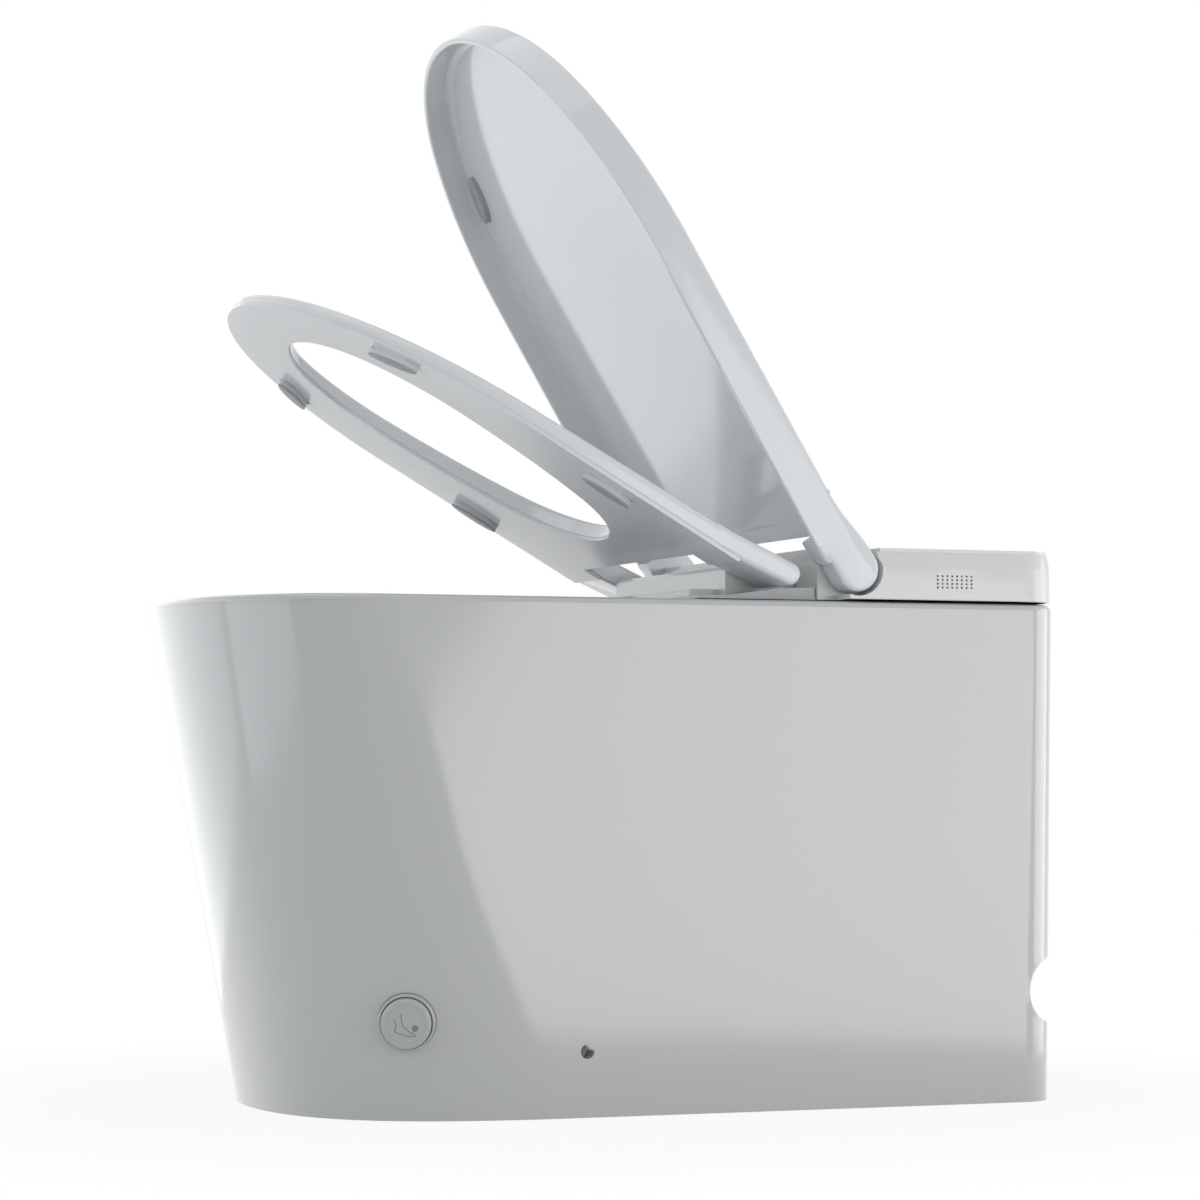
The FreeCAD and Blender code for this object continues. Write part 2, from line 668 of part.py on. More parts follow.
def nozzle_housing():
    """Front block between the seat arms, stepped down towards the bowl."""
    z0 = PLATE_TOP_Z + 0.2
    end_y = HOUSING_FRONT_Y - 0.6
    block = side_prism([(BLOCK_FRONT_Y, z0), (BLOCK_FRONT_Y, BLOCK_TOP_Z - 3),
                        (BLOCK_FRONT_Y + 3, BLOCK_TOP_Z), (end_y, BLOCK_TOP_Z), (end_y, z0)],
                       -BLOCK_HALF_WIDTH, BLOCK_HALF_WIDTH)
    step = side_prism([(STEP_FRONT_Y, z0), (STEP_FRONT_Y, STEP_TOP_Z - 2),
                       (STEP_FRONT_Y + 2, STEP_TOP_Z), (BLOCK_FRONT_Y + 1, STEP_TOP_Z),
                       (BLOCK_FRONT_Y + 1, z0)], -108, 108)
    t = BLOCK_SKIN
    space = side_prism([(BLOCK_FRONT_Y + t, z0 - 1), (BLOCK_FRONT_Y + t, BLOCK_TOP_Z - 3 - t / 2),
                        (BLOCK_FRONT_Y + 3 + t / 2, BLOCK_TOP_Z - t), (end_y + 1, BLOCK_TOP_Z - t),
                        (end_y + 1, z0 - 1)], t - BLOCK_HALF_WIDTH, BLOCK_HALF_WIDTH - t)
    low = box(t - 108, 108 - t, STEP_FRONT_Y + t, BLOCK_FRONT_Y + 4, z0 - 1, STEP_TOP_Z - t)
    pins = cross_rod(-130, 130, SEAT_AXIS[0], SEAT_AXIS[1], SEAT_PIN_R + 0.3)
    return joined([block, step]).cut([space, low, pins])


def along_wand(shape):
    """Lay a piece drawn along Y, tip at the origin, onto the sloping wand axis."""
    placed = shape.copy()
    placed.rotate(V(0, 0, 0), V(1, 0, 0), WAND_SLOPE)
    placed.translate(V(0, WAND_TIP_Y, WAND_TIP_Z))
    return placed


def nozzle_wand():
    """Spray wand with a bevelled tip and two spray holes."""
    wand = joined([Part.makeCone(2.6, WAND_R, 2.4, V(0, 0, 0), V(0, 1, 0)),
                   rod((0, 2.4, 0), (0, 1, 0), WAND_R, WAND_LENGTH - 2.4)])
    flat = box(-6, 6, 6, 26, WAND_R - 1.2, 8)
    holes = [rod((0, y, 0), (0, 0, 1), 0.9, 6) for y in (11, 20)]
    return along_wand(wand.cut([flat] + holes))


def nozzle_shield():
    """Shield on the wand's tip that closes the chute when the wand is home."""
    plate = box(-17, 17, -3.5, -0.5, -8.6, 13)
    edges = [e for e in plate.Edges if abs(e.tangentAt(e.FirstParameter).y) > 0.99]
    plate = plate.makeChamfer(4.0, edges)
    collar = tube((0, -1.0, 0), (0, 1, 0), WAND_R + 1.5, WAND_R, 5.0)
    return along_wand(joined([plate, collar]))


def nozzle_carriage():
    """Sliding block that carries the wand, with its drive rack."""
    block = box(-11.5, 11.5, 112, WAND_LENGTH, -7.5, 8)
    arm = box(11.5, 15.5, 106, WAND_LENGTH, 4, 8)
    return along_wand(joined([block, arm]).cut(rod((0, 100, 0), (0, 1, 0), WAND_R, 60)))


def nozzle_guide():
    """Fixed slide under the wand."""
    floor = box(-15.5, 15.5, 14, 150, -10.5, -8.0)
    rail = box(12.5, 15.5, 14, 150, -8.0, 2.0)
    stop = box(-15.5, 15.5, 146, 150, -8.0, 6.0)
    return along_wand(joined([floor, rail, mirrored(rail), stop]))


def nozzle_motor():
    """Small stepping motor beside the slide."""
    y, z = 168.0, 424.0
    return joined([cross_rod(24, 43, y, z, 12.0), box(24, 26, y - 17, y + 17, z - 4, z + 4),
                   cross_rod(18, 24, y, z, 2.5)])


# ---------------------------------------------------------------- seat

def tangent_point(start, centre, radius, side):
    """Where the tangent from an outside point meets a circle, below (-1) or above (+1)."""
    dy, dz = centre[0] - start[0], centre[1] - start[1]
    distance = math.hypot(dy, dz)
    turn = math.atan2(dz, dy) + side * math.asin(radius / distance)
    reach = math.sqrt(distance ** 2 - radius ** 2)
    return start[0] + reach * math.cos(turn), start[1] + reach * math.sin(turn)


def seat_tilt(shape):
    """Give a flat seat piece the slope of the seat's top."""
    return tilted(shape, SEAT_TIP_Y, SEAT_TIP_Z, SEAT_REAR_Y, SEAT_REAR_Z)


def seat_hole(grow, base_z):
    """Opening of the seat ring as a tall prism, widened by a wall."""
    half = HOLE_HALF_WIDTH + grow
    front = arc_nose(half, HOLE_FRONT_Y - grow, HOLE_WIDE_Y - HOLE_FRONT_Y + grow,
                     HOLE_FRONT_FLANK + grow, base_z)
    back = arc_nose(half, HOLE_REAR_Y + grow, HOLE_WIDE_Y - HOLE_REAR_Y - grow,
                    HOLE_REAR_FLANK + grow, base_z)
    return raised(Part.__sortEdges__(front + back), 60.0)


def seat_ring(inset, base_z, top_z):
    """Ring of the seat between two flat levels, drawn in by an inset all round."""
    outline = u_outline(SEAT_HALF_WIDTH - inset, SEAT_TIP_Y + inset, SEAT_NOSE - inset,
                        SEAT_FLANK - inset, SEAT_REAR_Y - inset, base_z)
    return raised(outline, top_z - base_z).cut(seat_hole(inset, base_z - 1.0))


def seat_arm():
    """Right-hand arm, from the ring back to the round end on the hinge."""
    cy, cz = SEAT_AXIS
    bend = (SEAT_BEND_Y, SEAT_UNDER_Z)
    crest = (SEAT_REAR_Y, SEAT_REAR_Z)
    low = tangent_point(bend, SEAT_AXIS, ARM_END_R, -1)
    high = tangent_point(crest, SEAT_AXIS, ARM_END_R, 1)
    x = ARM_INNER_X
    start_y = SEAT_REAR_Y - 12.0
    slope = (SEAT_REAR_Z - SEAT_TIP_Z) / (SEAT_REAR_Y - SEAT_TIP_Y)
    start = (start_y, SEAT_REAR_Z - 12.0 * slope)
    edges = [Part.makeLine(V(x, start_y, SEAT_UNDER_Z), V(x, *bend)),
             Part.makeLine(V(x, *bend), V(x, *low)),
             Part.Arc(V(x, *low), V(x, cy + ARM_END_R, cz), V(x, *high)).toShape(),
             Part.makeLine(V(x, *high), V(x, *crest)),
             Part.makeLine(V(x, *crest), V(x, *start)),
             Part.makeLine(V(x, *start), V(x, start_y, SEAT_UNDER_Z))]
    arm = Part.Face(Part.Wire(edges)).extrude(V(SEAT_HALF_WIDTH - x, 0, 0))
    crown = [e for e in arm.Edges if e.BoundBox.XMin > SEAT_HALF_WIDTH - 0.01
             and e.BoundBox.ZMax > cz + 1]
    return arm.makeChamfer(ARM_EDGE, crown)


def seat_top_shell():
    """Glossy upper shell of the seat, hollow under its skin, with solid arms."""
    ring = seat_ring(0.0, SEAT_UNDER_Z - 12, SEAT_TIP_Z)
    ring = seat_tilt(ring.makeChamfer(SEAT_EDGE, top_edges(ring, SEAT_TIP_Z, SEAT_REAR_Y - 1)))
    space = seat_tilt(seat_ring(SEAT_SKIN + 0.6, SEAT_UNDER_Z - 13, SEAT_TIP_Z - SEAT_SKIN))
    arm = seat_arm()
    below = box(-200, 200, -400, SEAT_BEND_Y, 380, SEAT_UNDER_Z + SEAT_PLATE)
    shell = joined([ring.cut(space), arm, mirrored(arm)]).cut(below)
    y, z = SEAT_AXIS
    bore = cross_rod(ARM_INNER_X - 2, 152, y, z, SEAT_PIN_R + RUNNING_FIT)
    return shell.cut([bore, mirrored(bore)]).Solids[0]


def seat_bottom_plate():
    """Flat plate that closes the seat from below, set in a little, with bumper recesses."""
    z = SEAT_UNDER_Z
    ring = seat_ring(1.0, z, z + SEAT_PLATE)
    arm = box(ARM_INNER_X + 1, SEAT_HALF_WIDTH - 1, SEAT_REAR_Y - 12, SEAT_BEND_Y - 1, z,
              z + SEAT_PLATE)
    feet = [bumper(x, y, turn, z - 1, z + 1.0) for x, y, turn in SEAT_BUMPERS]
    return joined([ring, arm, mirrored(arm)]).cut(feet)


def seat_heater():
    """Heating sheet just under the seat's skin."""
    top = SEAT_TIP_Z - SEAT_SKIN - 0.1
    return seat_tilt(seat_ring(12.0, top - 1.0, top))


def bumper(x, y, turn, z0, z1):
    """Rounded bar, longer than wide, lying in the plane of the ring."""
    half, radius = 16.0, 6.5
    bar = box(-half, half, -radius, radius, z0, z1)
    ends = [rod((end, 0, z0), (0, 0, 1), radius, z1 - z0) for end in (-half, half)]
    solid = joined([bar] + ends)
    solid.rotate(V(0, 0, 0), UP, turn)
    solid.translate(V(x, y, 0))
    return solid


SEAT_BUMPERS = [(140, -237, 50), (-140, -237, -50), (160, -40, 90), (-160, -40, 90)]


def seat_bumpers():
    """Four soft feet that meet the rim."""
    return Part.makeCompound([bumper(x, y, turn, RIM_Z + 0.4, SEAT_UNDER_Z + 1.0)
                              for x, y, turn in SEAT_BUMPERS])


def seat_damper():
    """Soft-close damper in the front block and its shaft into the seat arm."""
    y, z = SEAT_AXIS
    return joined([cross_rod(72.0, BLOCK_HALF_WIDTH - BLOCK_SKIN - 0.5, y, z, 6.0),
                   cross_rod(BLOCK_HALF_WIDTH - 10, 150, y, z, SEAT_PIN_R)])


# ---------------------------------------------------------------- lid

def lid_tilt(shape):
    """Give a flat lid piece the slope of the lid's top."""
    return tilted(shape, LID_TIP_Y, LID_TIP_Z, LID_REAR_Y, LID_REAR_Z)


def lid_prism(inset, rear_y, top_z):
    """Lid's plan raised to a flat top, drawn in by an inset."""
    outline = u_outline(LID_HALF_WIDTH - inset, LID_TIP_Y + inset, LID_NOSE - inset,
                        LID_FLANK - inset, rear_y, LID_RIM_Z - 20)
    return raised(outline, top_z - LID_RIM_Z + 20)


def lid_ear():
    """Ear beside the neck of the housing: a disc on the hinge run smoothly into the lid."""
    y, z = LID_AXIS
    x0, x1 = EAR_INNER_X, LID_HALF_WIDTH
    r = EAR_R
    start = (112.0, LID_REAR_Z - 0.5)
    crown = Part.BezierCurve()
    crown.setPoles([V(x0, y, z + r), V(x0, y - 26, z + r), V(x0, start[0] + 30, start[1] + 0.3),
                    V(x0, *start)])
    edges = [Part.makeLine(V(x0, start[0], LID_RIM_Z), V(x0, 159, LID_RIM_Z)),
             Part.makeLine(V(x0, 159, LID_RIM_Z), V(x0, 162, z - r)),
             Part.makeLine(V(x0, 162, z - r), V(x0, y, z - r)),
             Part.Arc(V(x0, y, z - r), V(x0, y + r, z), V(x0, y, z + r)).toShape(),
             crown.toShape(),
             Part.makeLine(V(x0, *start), V(x0, start[0], LID_RIM_Z))]
    return Part.Face(Part.Wire(edges)).extrude(V(x1 - x0, 0, 0))


def lid_tray():
    """Space under the lid, bevelled where its wall meets its ceiling."""
    top_z = LID_TIP_Z - LID_PANEL
    tray = lid_prism(LID_WALL, TRAY_REAR_Y, top_z)
    return lid_tilt(tray.makeChamfer(LID_COVE, top_edges(tray, top_z, TRAY_REAR_Y - 1)))


def lid_shell():
    """One-piece lid: wedge with a deep tray under it and an ear at each rear corner."""
    slab = lid_prism(0.0, LID_REAR_Y, LID_TIP_Z)
    slab = slab.makeChamfer(LID_EDGE, top_edges(slab, LID_TIP_Z, LID_REAR_Y - 1))
    sole = box(-200, 200, -400, 200, 370, LID_RIM_Z)
    mouth = box(-EAR_INNER_X, EAR_INNER_X, 120, 150, 370, LID_REAR_Z - LID_PANEL - 0.5)
    ear = lid_ear()
    y, z = LID_AXIS
    bore = cross_rod(EAR_INNER_X - 1, 182, y, z, LID_SHAFT_R + RUNNING_FIT)
    body = joined([lid_tilt(slab), ear, mirrored(ear)])
    return body.cut([lid_tray(), sole, mouth, bore, mirrored(bore)]).Solids[0]


def lid_bumpers():
    """Two soft pads in the tray that meet the seat."""
    pad = bumper(162, -215, 68, 428.6, LID_TIP_Z)
    return both_sides(pad.common(lid_tray()))


def lid_hinge(side, start_x, radius):
    """Lid drive or damper in the housing and its shaft into the ear."""
    y, z = LID_AXIS
    drive = joined([cross_rod(start_x, HOUSING_NECK - SKIN - 0.5, y, z, radius),
                    cross_rod(HOUSING_NECK - 10, 181, y, z, LID_SHAFT_R)])
    return drive if side > 0 else mirrored(drive)


# ---------------------------------------------------------------- inside the unit

def water_heater():
    """Instant heater: a finned block with its ports."""
    body = box(-112, -16, 174, 222, TUB[4] + TUB_WALL, 392)
    fins = [box(-108 + i * 11, -104 + i * 11, 172, 224, 352, 389) for i in range(9)]
    ports = [rod((-100, 198, 392), (0, 0, 1), 5, 12), rod((-28, 198, 392), (0, 0, 1), 5, 12)]
    return joined([body] + fins + ports)


def power_supply():
    """Enclosed power supply with cooling slots."""
    case = box(-22, 92, 244, 300, TUB[4] + TUB_WALL, 392)
    slots = [box(-12 + i * 12, -7 + i * 12, 240, 305, 386, 395) for i in range(9)]
    return case.cut(slots)


def control_board():
    """Printed board on the base's posts, with its taller components."""
    z = 412.0
    board = box(-42, 112, 228, 316, z, z + 1.6)
    parts = [box(-30, 0, 250, 275, z + 1, z + 11), box(20, 44, 240, 262, z + 1, z + 14),
             box(60, 100, 270, 300, z + 1, z + 8), hexagon(12, 296, z + 1, 7.5, 16),
             hexagon(34, 296, z + 1, 7.5, 16), box(56, 80, 232, 246, z + 1, z + 10)]
    return joined([board] + parts)


def fan_housing():
    """Scroll casing of the warm-air fan with its outlet towards the bowl."""
    z0, z1 = PLATE_TOP_Z, PLATE_TOP_Z + 26.0
    case = joined([rod((FAN_X, FAN_Y, z0), (0, 0, 1), FAN_R + 8, z1 - z0),
                   box(FAN_X - 32, FAN_X - 8, FAN_Y - 64, FAN_Y, z0, z1)])
    space = joined([rod((FAN_X, FAN_Y, z0 + 2), (0, 0, 1), FAN_R + 5.5, z1 - z0 - 4),
                    box(FAN_X - 29.5, FAN_X - 10.5, FAN_Y - 65, FAN_Y, z0 + 2, z1 - 2)])
    inlet = rod((FAN_X, FAN_Y, z1 - 5), (0, 0, 1), FAN_R - 6, 10)
    shaft = rod((FAN_X, FAN_Y, z0 + 1), (0, 0, 1), 2.5, 8)
    return joined([case.cut([space, inlet]), shaft])


def fan_wheel():
    """Blower wheel: a back plate, a hub and a ring of blades."""
    z0, z1 = PLATE_TOP_Z + 5.0, PLATE_TOP_Z + 20.0
    parts = [rod((FAN_X, FAN_Y, z0), (0, 0, 1), FAN_R, 1.6),
             rod((FAN_X, FAN_Y, z0), (0, 0, 1), 6.0, 10)]
    blade = box(FAN_R - 7, FAN_R - 0.6, -0.6, 0.6, z0 + 1, z1)
    blade.rotate(V(FAN_R - 4, 0, 0), UP, 35)
    for i in range(FAN_BLADES):
        copy = blade.copy()
        copy.rotate(V(0, 0, 0), UP, 360.0 * i / FAN_BLADES)
        copy.translate(V(FAN_X, FAN_Y, 0))
        parts.append(copy)
    return joined(parts).cut(rod((FAN_X, FAN_Y, z0 - 1), (0, 0, 1), 2.55, 20))


def deodoriser():
    """Filter cartridge behind the grille."""
    case = box(150, 188, 242, 284, PLATE_TOP_Z, 431)
    return case.cut([box(152, 186, 246 + i * 6, 249 + i * 6, 414, 432) for i in range(6)])


def inlet_valve():
    """Supply valve under the tub, with its coil and the threaded stub for the supply hose."""
    floor_z = TUB[4]
    body = box(INLET_X - 17, INLET_X + 17, 282, 318, INLET_Z - 16, INLET_Z + 16)
    neck = rod((INLET_X, 300, INLET_Z + 10), (0, 0, 1), 9, floor_z - INLET_Z - 10)
    coil = cross_rod(INLET_X + 16, INLET_X + 46, 300, INLET_Z, 14)
    return joined([body, neck, coil])


def inlet_fitting():
    """Threaded brass stub and its hexagon."""
    hexagon = [V(INLET_X + 15 * math.cos(math.radians(a)), 318, INLET_Z + 15 * math.sin(math.radians(a)))
               for a in range(0, 360, 60)]
    nut = Part.Face(Part.makePolygon(hexagon + hexagon[:1])).extrude(V(0, 6, 0))
    stub = rod((INLET_X, 318, INLET_Z), (0, 1, 0), INLET_R, INLET_END_Y - 318)
    return joined([nut, stub]).cut(rod((INLET_X, 317, INLET_Z), (0, 1, 0), 7.0, 40))


def flush_hose():
    """Hose from the supply valve to the bowl's wall."""
    end_y = BOWL_REAR_Y - BOWL_R + math.sqrt((BOWL_R + BOWL_WALL) ** 2 - INLET_X ** 2)
    hose = pipe([V(INLET_X, 282, INLET_Z), V(INLET_X, 190, INLET_Z), V(INLET_X, end_y - 6, 352)],
                60.0, 9.0)
    return hose.cut(bowl_solid(BOWL_WALL, RIM_Z - 4.0)).Solids[0]


def cable_gland():
    """Gland for the supply lead, under the tub."""
    z = TUB[4]
    gland = joined([hexagon(-60, 296, z - 12, 10.0, 12.0), rod((-60, 296, z - 1), (0, 0, 1), 6.0, 8),
                    Part.makeCone(5, 8, 10, V(-60, 296, z - 22), UP)])
    return gland.cut(rod((-60, 296, z - 30), (0, 0, 1), 3.6, 50))


# ---------------------------------------------------------------- files

def save(name, shape):
    """Write one named piece."""
    shape.exportStep("parts/" + name + ".step")


def build_all():
    """Write every piece of the toilet."""
    os.makedirs("parts", exist_ok=True)
    pieces = {
        "ceramic_body": ceramic_body(),
        "outlet_seal": outlet_seal(),
        "floor_brackets": floor_brackets(),
        "foot_button_bezel": foot_button_bezel(),
        "foot_button_cap": foot_button_cap(),
        "foot_switch": foot_switch(),
        "unit_base": unit_base(),
        "deck_gasket": deck_gasket(),
        "unit_bolts": unit_bolts(),
        "unit_nuts": unit_nuts(),
        "rear_cover": rear_cover(),
        "rear_top_plate": rear_top_plate(),
        "nozzle_housing": nozzle_housing(),
        "nozzle_wand": nozzle_wand(),
        "nozzle_shield": nozzle_shield(),
        "nozzle_carriage": nozzle_carriage(),
        "nozzle_guide": nozzle_guide(),
        "nozzle_motor": nozzle_motor(),
        "seat_top_shell": seat_open(seat_top_shell()),
        "seat_bottom_plate": seat_open(seat_bottom_plate()),
        "seat_heater": seat_open(seat_heater()),
        "seat_bumpers": seat_open(seat_bumpers()),
        "seat_dampers": both_sides(seat_damper()),
        "lid_shell": lid_open(lid_shell()),
        "lid_bumpers": lid_open(lid_bumpers()),
        "lid_drive": lid_hinge(1, 96.0, 11.0),
        "lid_damper": lid_hinge(-1, 122.0, 9.0),
        "water_heater": water_heater(),
        "power_supply": power_supply(),
        "control_board": control_board(),
        "fan_housing": fan_housing(),
        "fan_wheel": fan_wheel(),
        "deodoriser": deodoriser(),
        "inlet_valve": inlet_valve(),
        "inlet_fitting": inlet_fitting(),
        "flush_hose": flush_hose(),
        "cable_gland": cable_gland(),
    }
    for name, shape in pieces.items():
        save(name, shape)


build_all()
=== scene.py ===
"""Dresses the smart toilet's frame: glazed body, glossy seat and lid, rear housing and fittings."""

import logging
import math
from dataclasses import dataclass, field
from enum import Enum

import bpy
import numpy as np
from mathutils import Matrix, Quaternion, Vector


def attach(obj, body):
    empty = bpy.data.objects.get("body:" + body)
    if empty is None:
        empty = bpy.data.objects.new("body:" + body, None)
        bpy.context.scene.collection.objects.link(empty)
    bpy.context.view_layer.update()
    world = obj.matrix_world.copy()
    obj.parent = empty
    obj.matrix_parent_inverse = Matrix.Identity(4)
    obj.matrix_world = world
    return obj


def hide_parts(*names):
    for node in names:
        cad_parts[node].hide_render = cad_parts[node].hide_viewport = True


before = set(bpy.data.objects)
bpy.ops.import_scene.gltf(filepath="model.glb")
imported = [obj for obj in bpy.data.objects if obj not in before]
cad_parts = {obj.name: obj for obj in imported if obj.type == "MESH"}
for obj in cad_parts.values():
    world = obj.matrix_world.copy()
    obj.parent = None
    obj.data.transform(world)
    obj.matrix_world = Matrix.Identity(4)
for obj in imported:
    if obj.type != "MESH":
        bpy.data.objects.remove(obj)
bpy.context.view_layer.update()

MM = 0.001
LOG = logging.getLogger("toilet")
Array = np.ndarray


class Body(Enum):
    """Bodies of the frame that a piece can ride on."""

    TOILET = "toilet"
    SEAT = "seat"
    LID = "lid"
    WAND = "wand"
    BUTTON = "button"
    FAN = "fan"


# ------------------------------------------------------------------ finishes


def ripple_group() -> bpy.types.NodeTree:
    """Node group for the faint waviness and uneven gloss of glaze and moulded plastic.

    Returns:
        The group, with a roughness value and a normal as its outputs.
    """
    tree = bpy.data.node_groups.new("surface_ripple", "ShaderNodeTree")
    face = tree.interface
    for name, default in (("Scale", 20.0), ("Depth", 0.1), ("Gloss", 0.1), ("Spread", 0.02)):
        socket = face.new_socket(name, in_out="INPUT", socket_type="NodeSocketFloat")
        socket.default_value = default
    face.new_socket("Roughness", in_out="OUTPUT", socket_type="NodeSocketFloat")
    face.new_socket("Normal", in_out="OUTPUT", socket_type="NodeSocketVector")
    nodes, links = tree.nodes, tree.links
    start, end = nodes.new("NodeGroupInput"), nodes.new("NodeGroupOutput")
    place = nodes.new("ShaderNodeTexCoord")
    noise = nodes.new("ShaderNodeTexNoise")
    noise.inputs["Detail"].default_value = 2.0
    swing = nodes.new("ShaderNodeMath")
    swing.operation = "MULTIPLY_ADD"
    bump = nodes.new("ShaderNodeBump")
    bump.inputs["Distance"].default_value = 0.001
    links.new(place.outputs["Object"], noise.inputs["Vector"])
    links.new(start.outputs["Scale"], noise.inputs["Scale"])
    links.new(noise.outputs["Fac"], swing.inputs[0])
    links.new(start.outputs["Spread"], swing.inputs[1])
    links.new(start.outputs["Gloss"], swing.inputs[2])
    links.new(start.outputs["Depth"], bump.inputs["Strength"])
    links.new(noise.outputs["Fac"], bump.inputs["Height"])
    links.new(swing.outputs["Value"], end.inputs["Roughness"])
    links.new(bump.outputs["Normal"], end.inputs["Normal"])
    return tree


@dataclass(frozen=True)
class Finish:
    """One surface finish, made with the Principled shader.

    Attributes:
        name: Name of the material.
        colour: Base colour, linear.
        gloss: Lowest roughness.
        spread: How much the roughness varies over the surface.
        scale: Size of the waviness, in waves per metre.
        depth: Strength of the waviness.
        metallic: 1 for bare metal.
        coat: Weight of a clear coat.
    """

    name: str
    colour: tuple[float, float, float]
    gloss: float = 0.3
    spread: float = 0.04
    scale: float = 14.0
    depth: float = 0.02
    metallic: float = 0.0
    coat: float = 0.0

    def material(self) -> bpy.types.Material:
        """Make the material, or return the one made before."""
        found = bpy.data.materials.get(self.name)
        if found:
            return found
        made = bpy.data.materials.new(self.name)
        made.use_nodes = True
        made.diffuse_color = (*self.colour, 1.0)
        nodes, links = made.node_tree.nodes, made.node_tree.links
        shader = nodes["Principled BSDF"]
        shader.inputs["Base Color"].default_value = (*self.colour, 1.0)
        shader.inputs["Metallic"].default_value = self.metallic
        shader.inputs["Coat Weight"].default_value = self.coat
        shader.inputs["Coat Roughness"].default_value = 0.1
        ripple = nodes.new("ShaderNodeGroup")
        ripple.node_tree = bpy.data.node_groups.get("surface_ripple") or ripple_group()
        ripple.inputs["Scale"].default_value = self.scale
        ripple.inputs["Depth"].default_value = self.depth
        ripple.inputs["Gloss"].default_value = self.gloss
        ripple.inputs["Spread"].default_value = self.spread
        links.new(ripple.outputs["Roughness"], shader.inputs["Roughness"])
        links.new(ripple.outputs["Normal"], shader.inputs["Normal"])
        return made


GLAZE = Finish("white_glaze", (0.53, 0.54, 0.545), gloss=0.13, spread=0.03, scale=6.0, coat=1.0)
SEAT_WHITE = Finish("seat_white", (0.78, 0.80, 0.81), gloss=0.10, spread=0.03, scale=10.0, coat=0.5)
LID_WHITE = Finish("lid_white", (0.76, 0.785, 0.80), gloss=0.10, spread=0.03, scale=10.0, coat=0.5)
PLATE_WHITE = Finish("seat_under_white", (0.78, 0.80, 0.815), gloss=0.14, spread=0.04, scale=12.0)
HOUSING_WHITE = Finish("housing_white", (0.76, 0.765, 0.765), gloss=0.14, spread=0.04, scale=12.0)
BASE_WHITE = Finish("base_white", (0.52, 0.53, 0.54), gloss=0.30, spread=0.06, scale=18.0)
BUTTON_WHITE = Finish("button_white", (0.50, 0.51, 0.51), gloss=0.16, spread=0.04, scale=30.0)
SOFT_GREY = Finish("bumper_grey", (0.44, 0.45, 0.46), gloss=0.45, spread=0.10, scale=40.0)
PAD_WHITE = Finish("pad_white", (0.74, 0.76, 0.77), gloss=0.35, spread=0.06, scale=30.0)
SEAL_DARK = Finish("seal_dark", (0.10, 0.10, 0.10), gloss=0.60, spread=0.10, scale=40.0)
MARK_GREY = Finish("mark_grey", (0.22, 0.23, 0.23), gloss=0.50, spread=0.05, scale=40.0)
DARK_PLASTIC = Finish("dark_plastic", (0.09, 0.09, 0.10), gloss=0.45, spread=0.10, scale=30.0)
PALE_PLASTIC = Finish("pale_plastic", (0.55, 0.55, 0.54), gloss=0.40, spread=0.08, scale=30.0)
STEEL = Finish("plain_steel", (0.52, 0.52, 0.52), gloss=0.30, spread=0.10, scale=60.0, metallic=1.0)
BRIGHT_STEEL = Finish("bright_steel", (0.62, 0.63, 0.64), gloss=0.08, spread=0.05, metallic=1.0)
ZINC = Finish("zinc_plate", (0.40, 0.41, 0.42), gloss=0.38, spread=0.12, scale=50.0, metallic=0.8)
BRASS = Finish("plain_brass", (0.55, 0.38, 0.14), gloss=0.28, spread=0.10, scale=50.0, metallic=1.0)
FOIL = Finish("heater_foil", (0.60, 0.60, 0.60), gloss=0.35, spread=0.10, metallic=1.0)
BOARD = Finish("board_green", (0.02, 0.12, 0.05), gloss=0.35, spread=0.10, scale=60.0)
HOSE = Finish("hose_grey", (0.20, 0.21, 0.22), gloss=0.50, spread=0.10, scale=60.0)


# ------------------------------------------------------------------ outlines and grids


def arc_nose(half: float, tip: float, depth: float, flank: float, count: int) -> Array:
    """Round nose of three tangent arcs, worked out by the direction that it faces.

    A point facing angle a, counted from straight ahead, is its arc's centre plus the arc's
    radius times (sin a, -cos a). The crown arc covers the middle, the flank arcs the rest.

    Args:
        half: Half width at the end of the nose.
        tip: Y of the foremost point.
        depth: Length of the nose along Y, negative when it looks backwards.
        flank: Radius of the flank arcs.
        count: Number of points, from the left flank round to the right.

    Returns:
        Points (count, 2) as X and Y.
    """
    off, deep = half - flank, abs(depth)
    crown = (off**2 + deep**2 - flank**2) / (2.0 * (deep - flank))
    drop = deep - crown
    meet = abs(math.atan2(off / (flank - crown), drop / (flank - crown)))
    angle = np.linspace(-np.pi / 2, np.pi / 2, count)
    side = np.abs(angle) > meet
    radius = np.where(side, flank, crown)
    x = np.where(side, np.sign(angle) * off, 0.0) + radius * np.sin(angle)
    y = np.where(side, deep, crown) - radius * np.cos(angle)
    return np.stack([x, tip + math.copysign(1.0, depth) * y], 1)


def straight(start: Array, end: Array, count: int) -> Array:
    """Evenly spaced points after the start, up to but without the end."""
    share = np.arange(1, count + 1)[:, None] / (count + 1)
    return np.asarray(start) * (1 - share) + np.asarray(end) * share


def corner(centre: tuple[float, float], radius: float, start: float, count: int) -> Array:
    """Quarter turn to the left round a centre, from an angle in degrees."""
    angle = np.radians(start + np.linspace(0.0, 90.0, count))
    return np.stack([centre[0] + radius * np.cos(angle), centre[1] + radius * np.sin(angle)], 1)


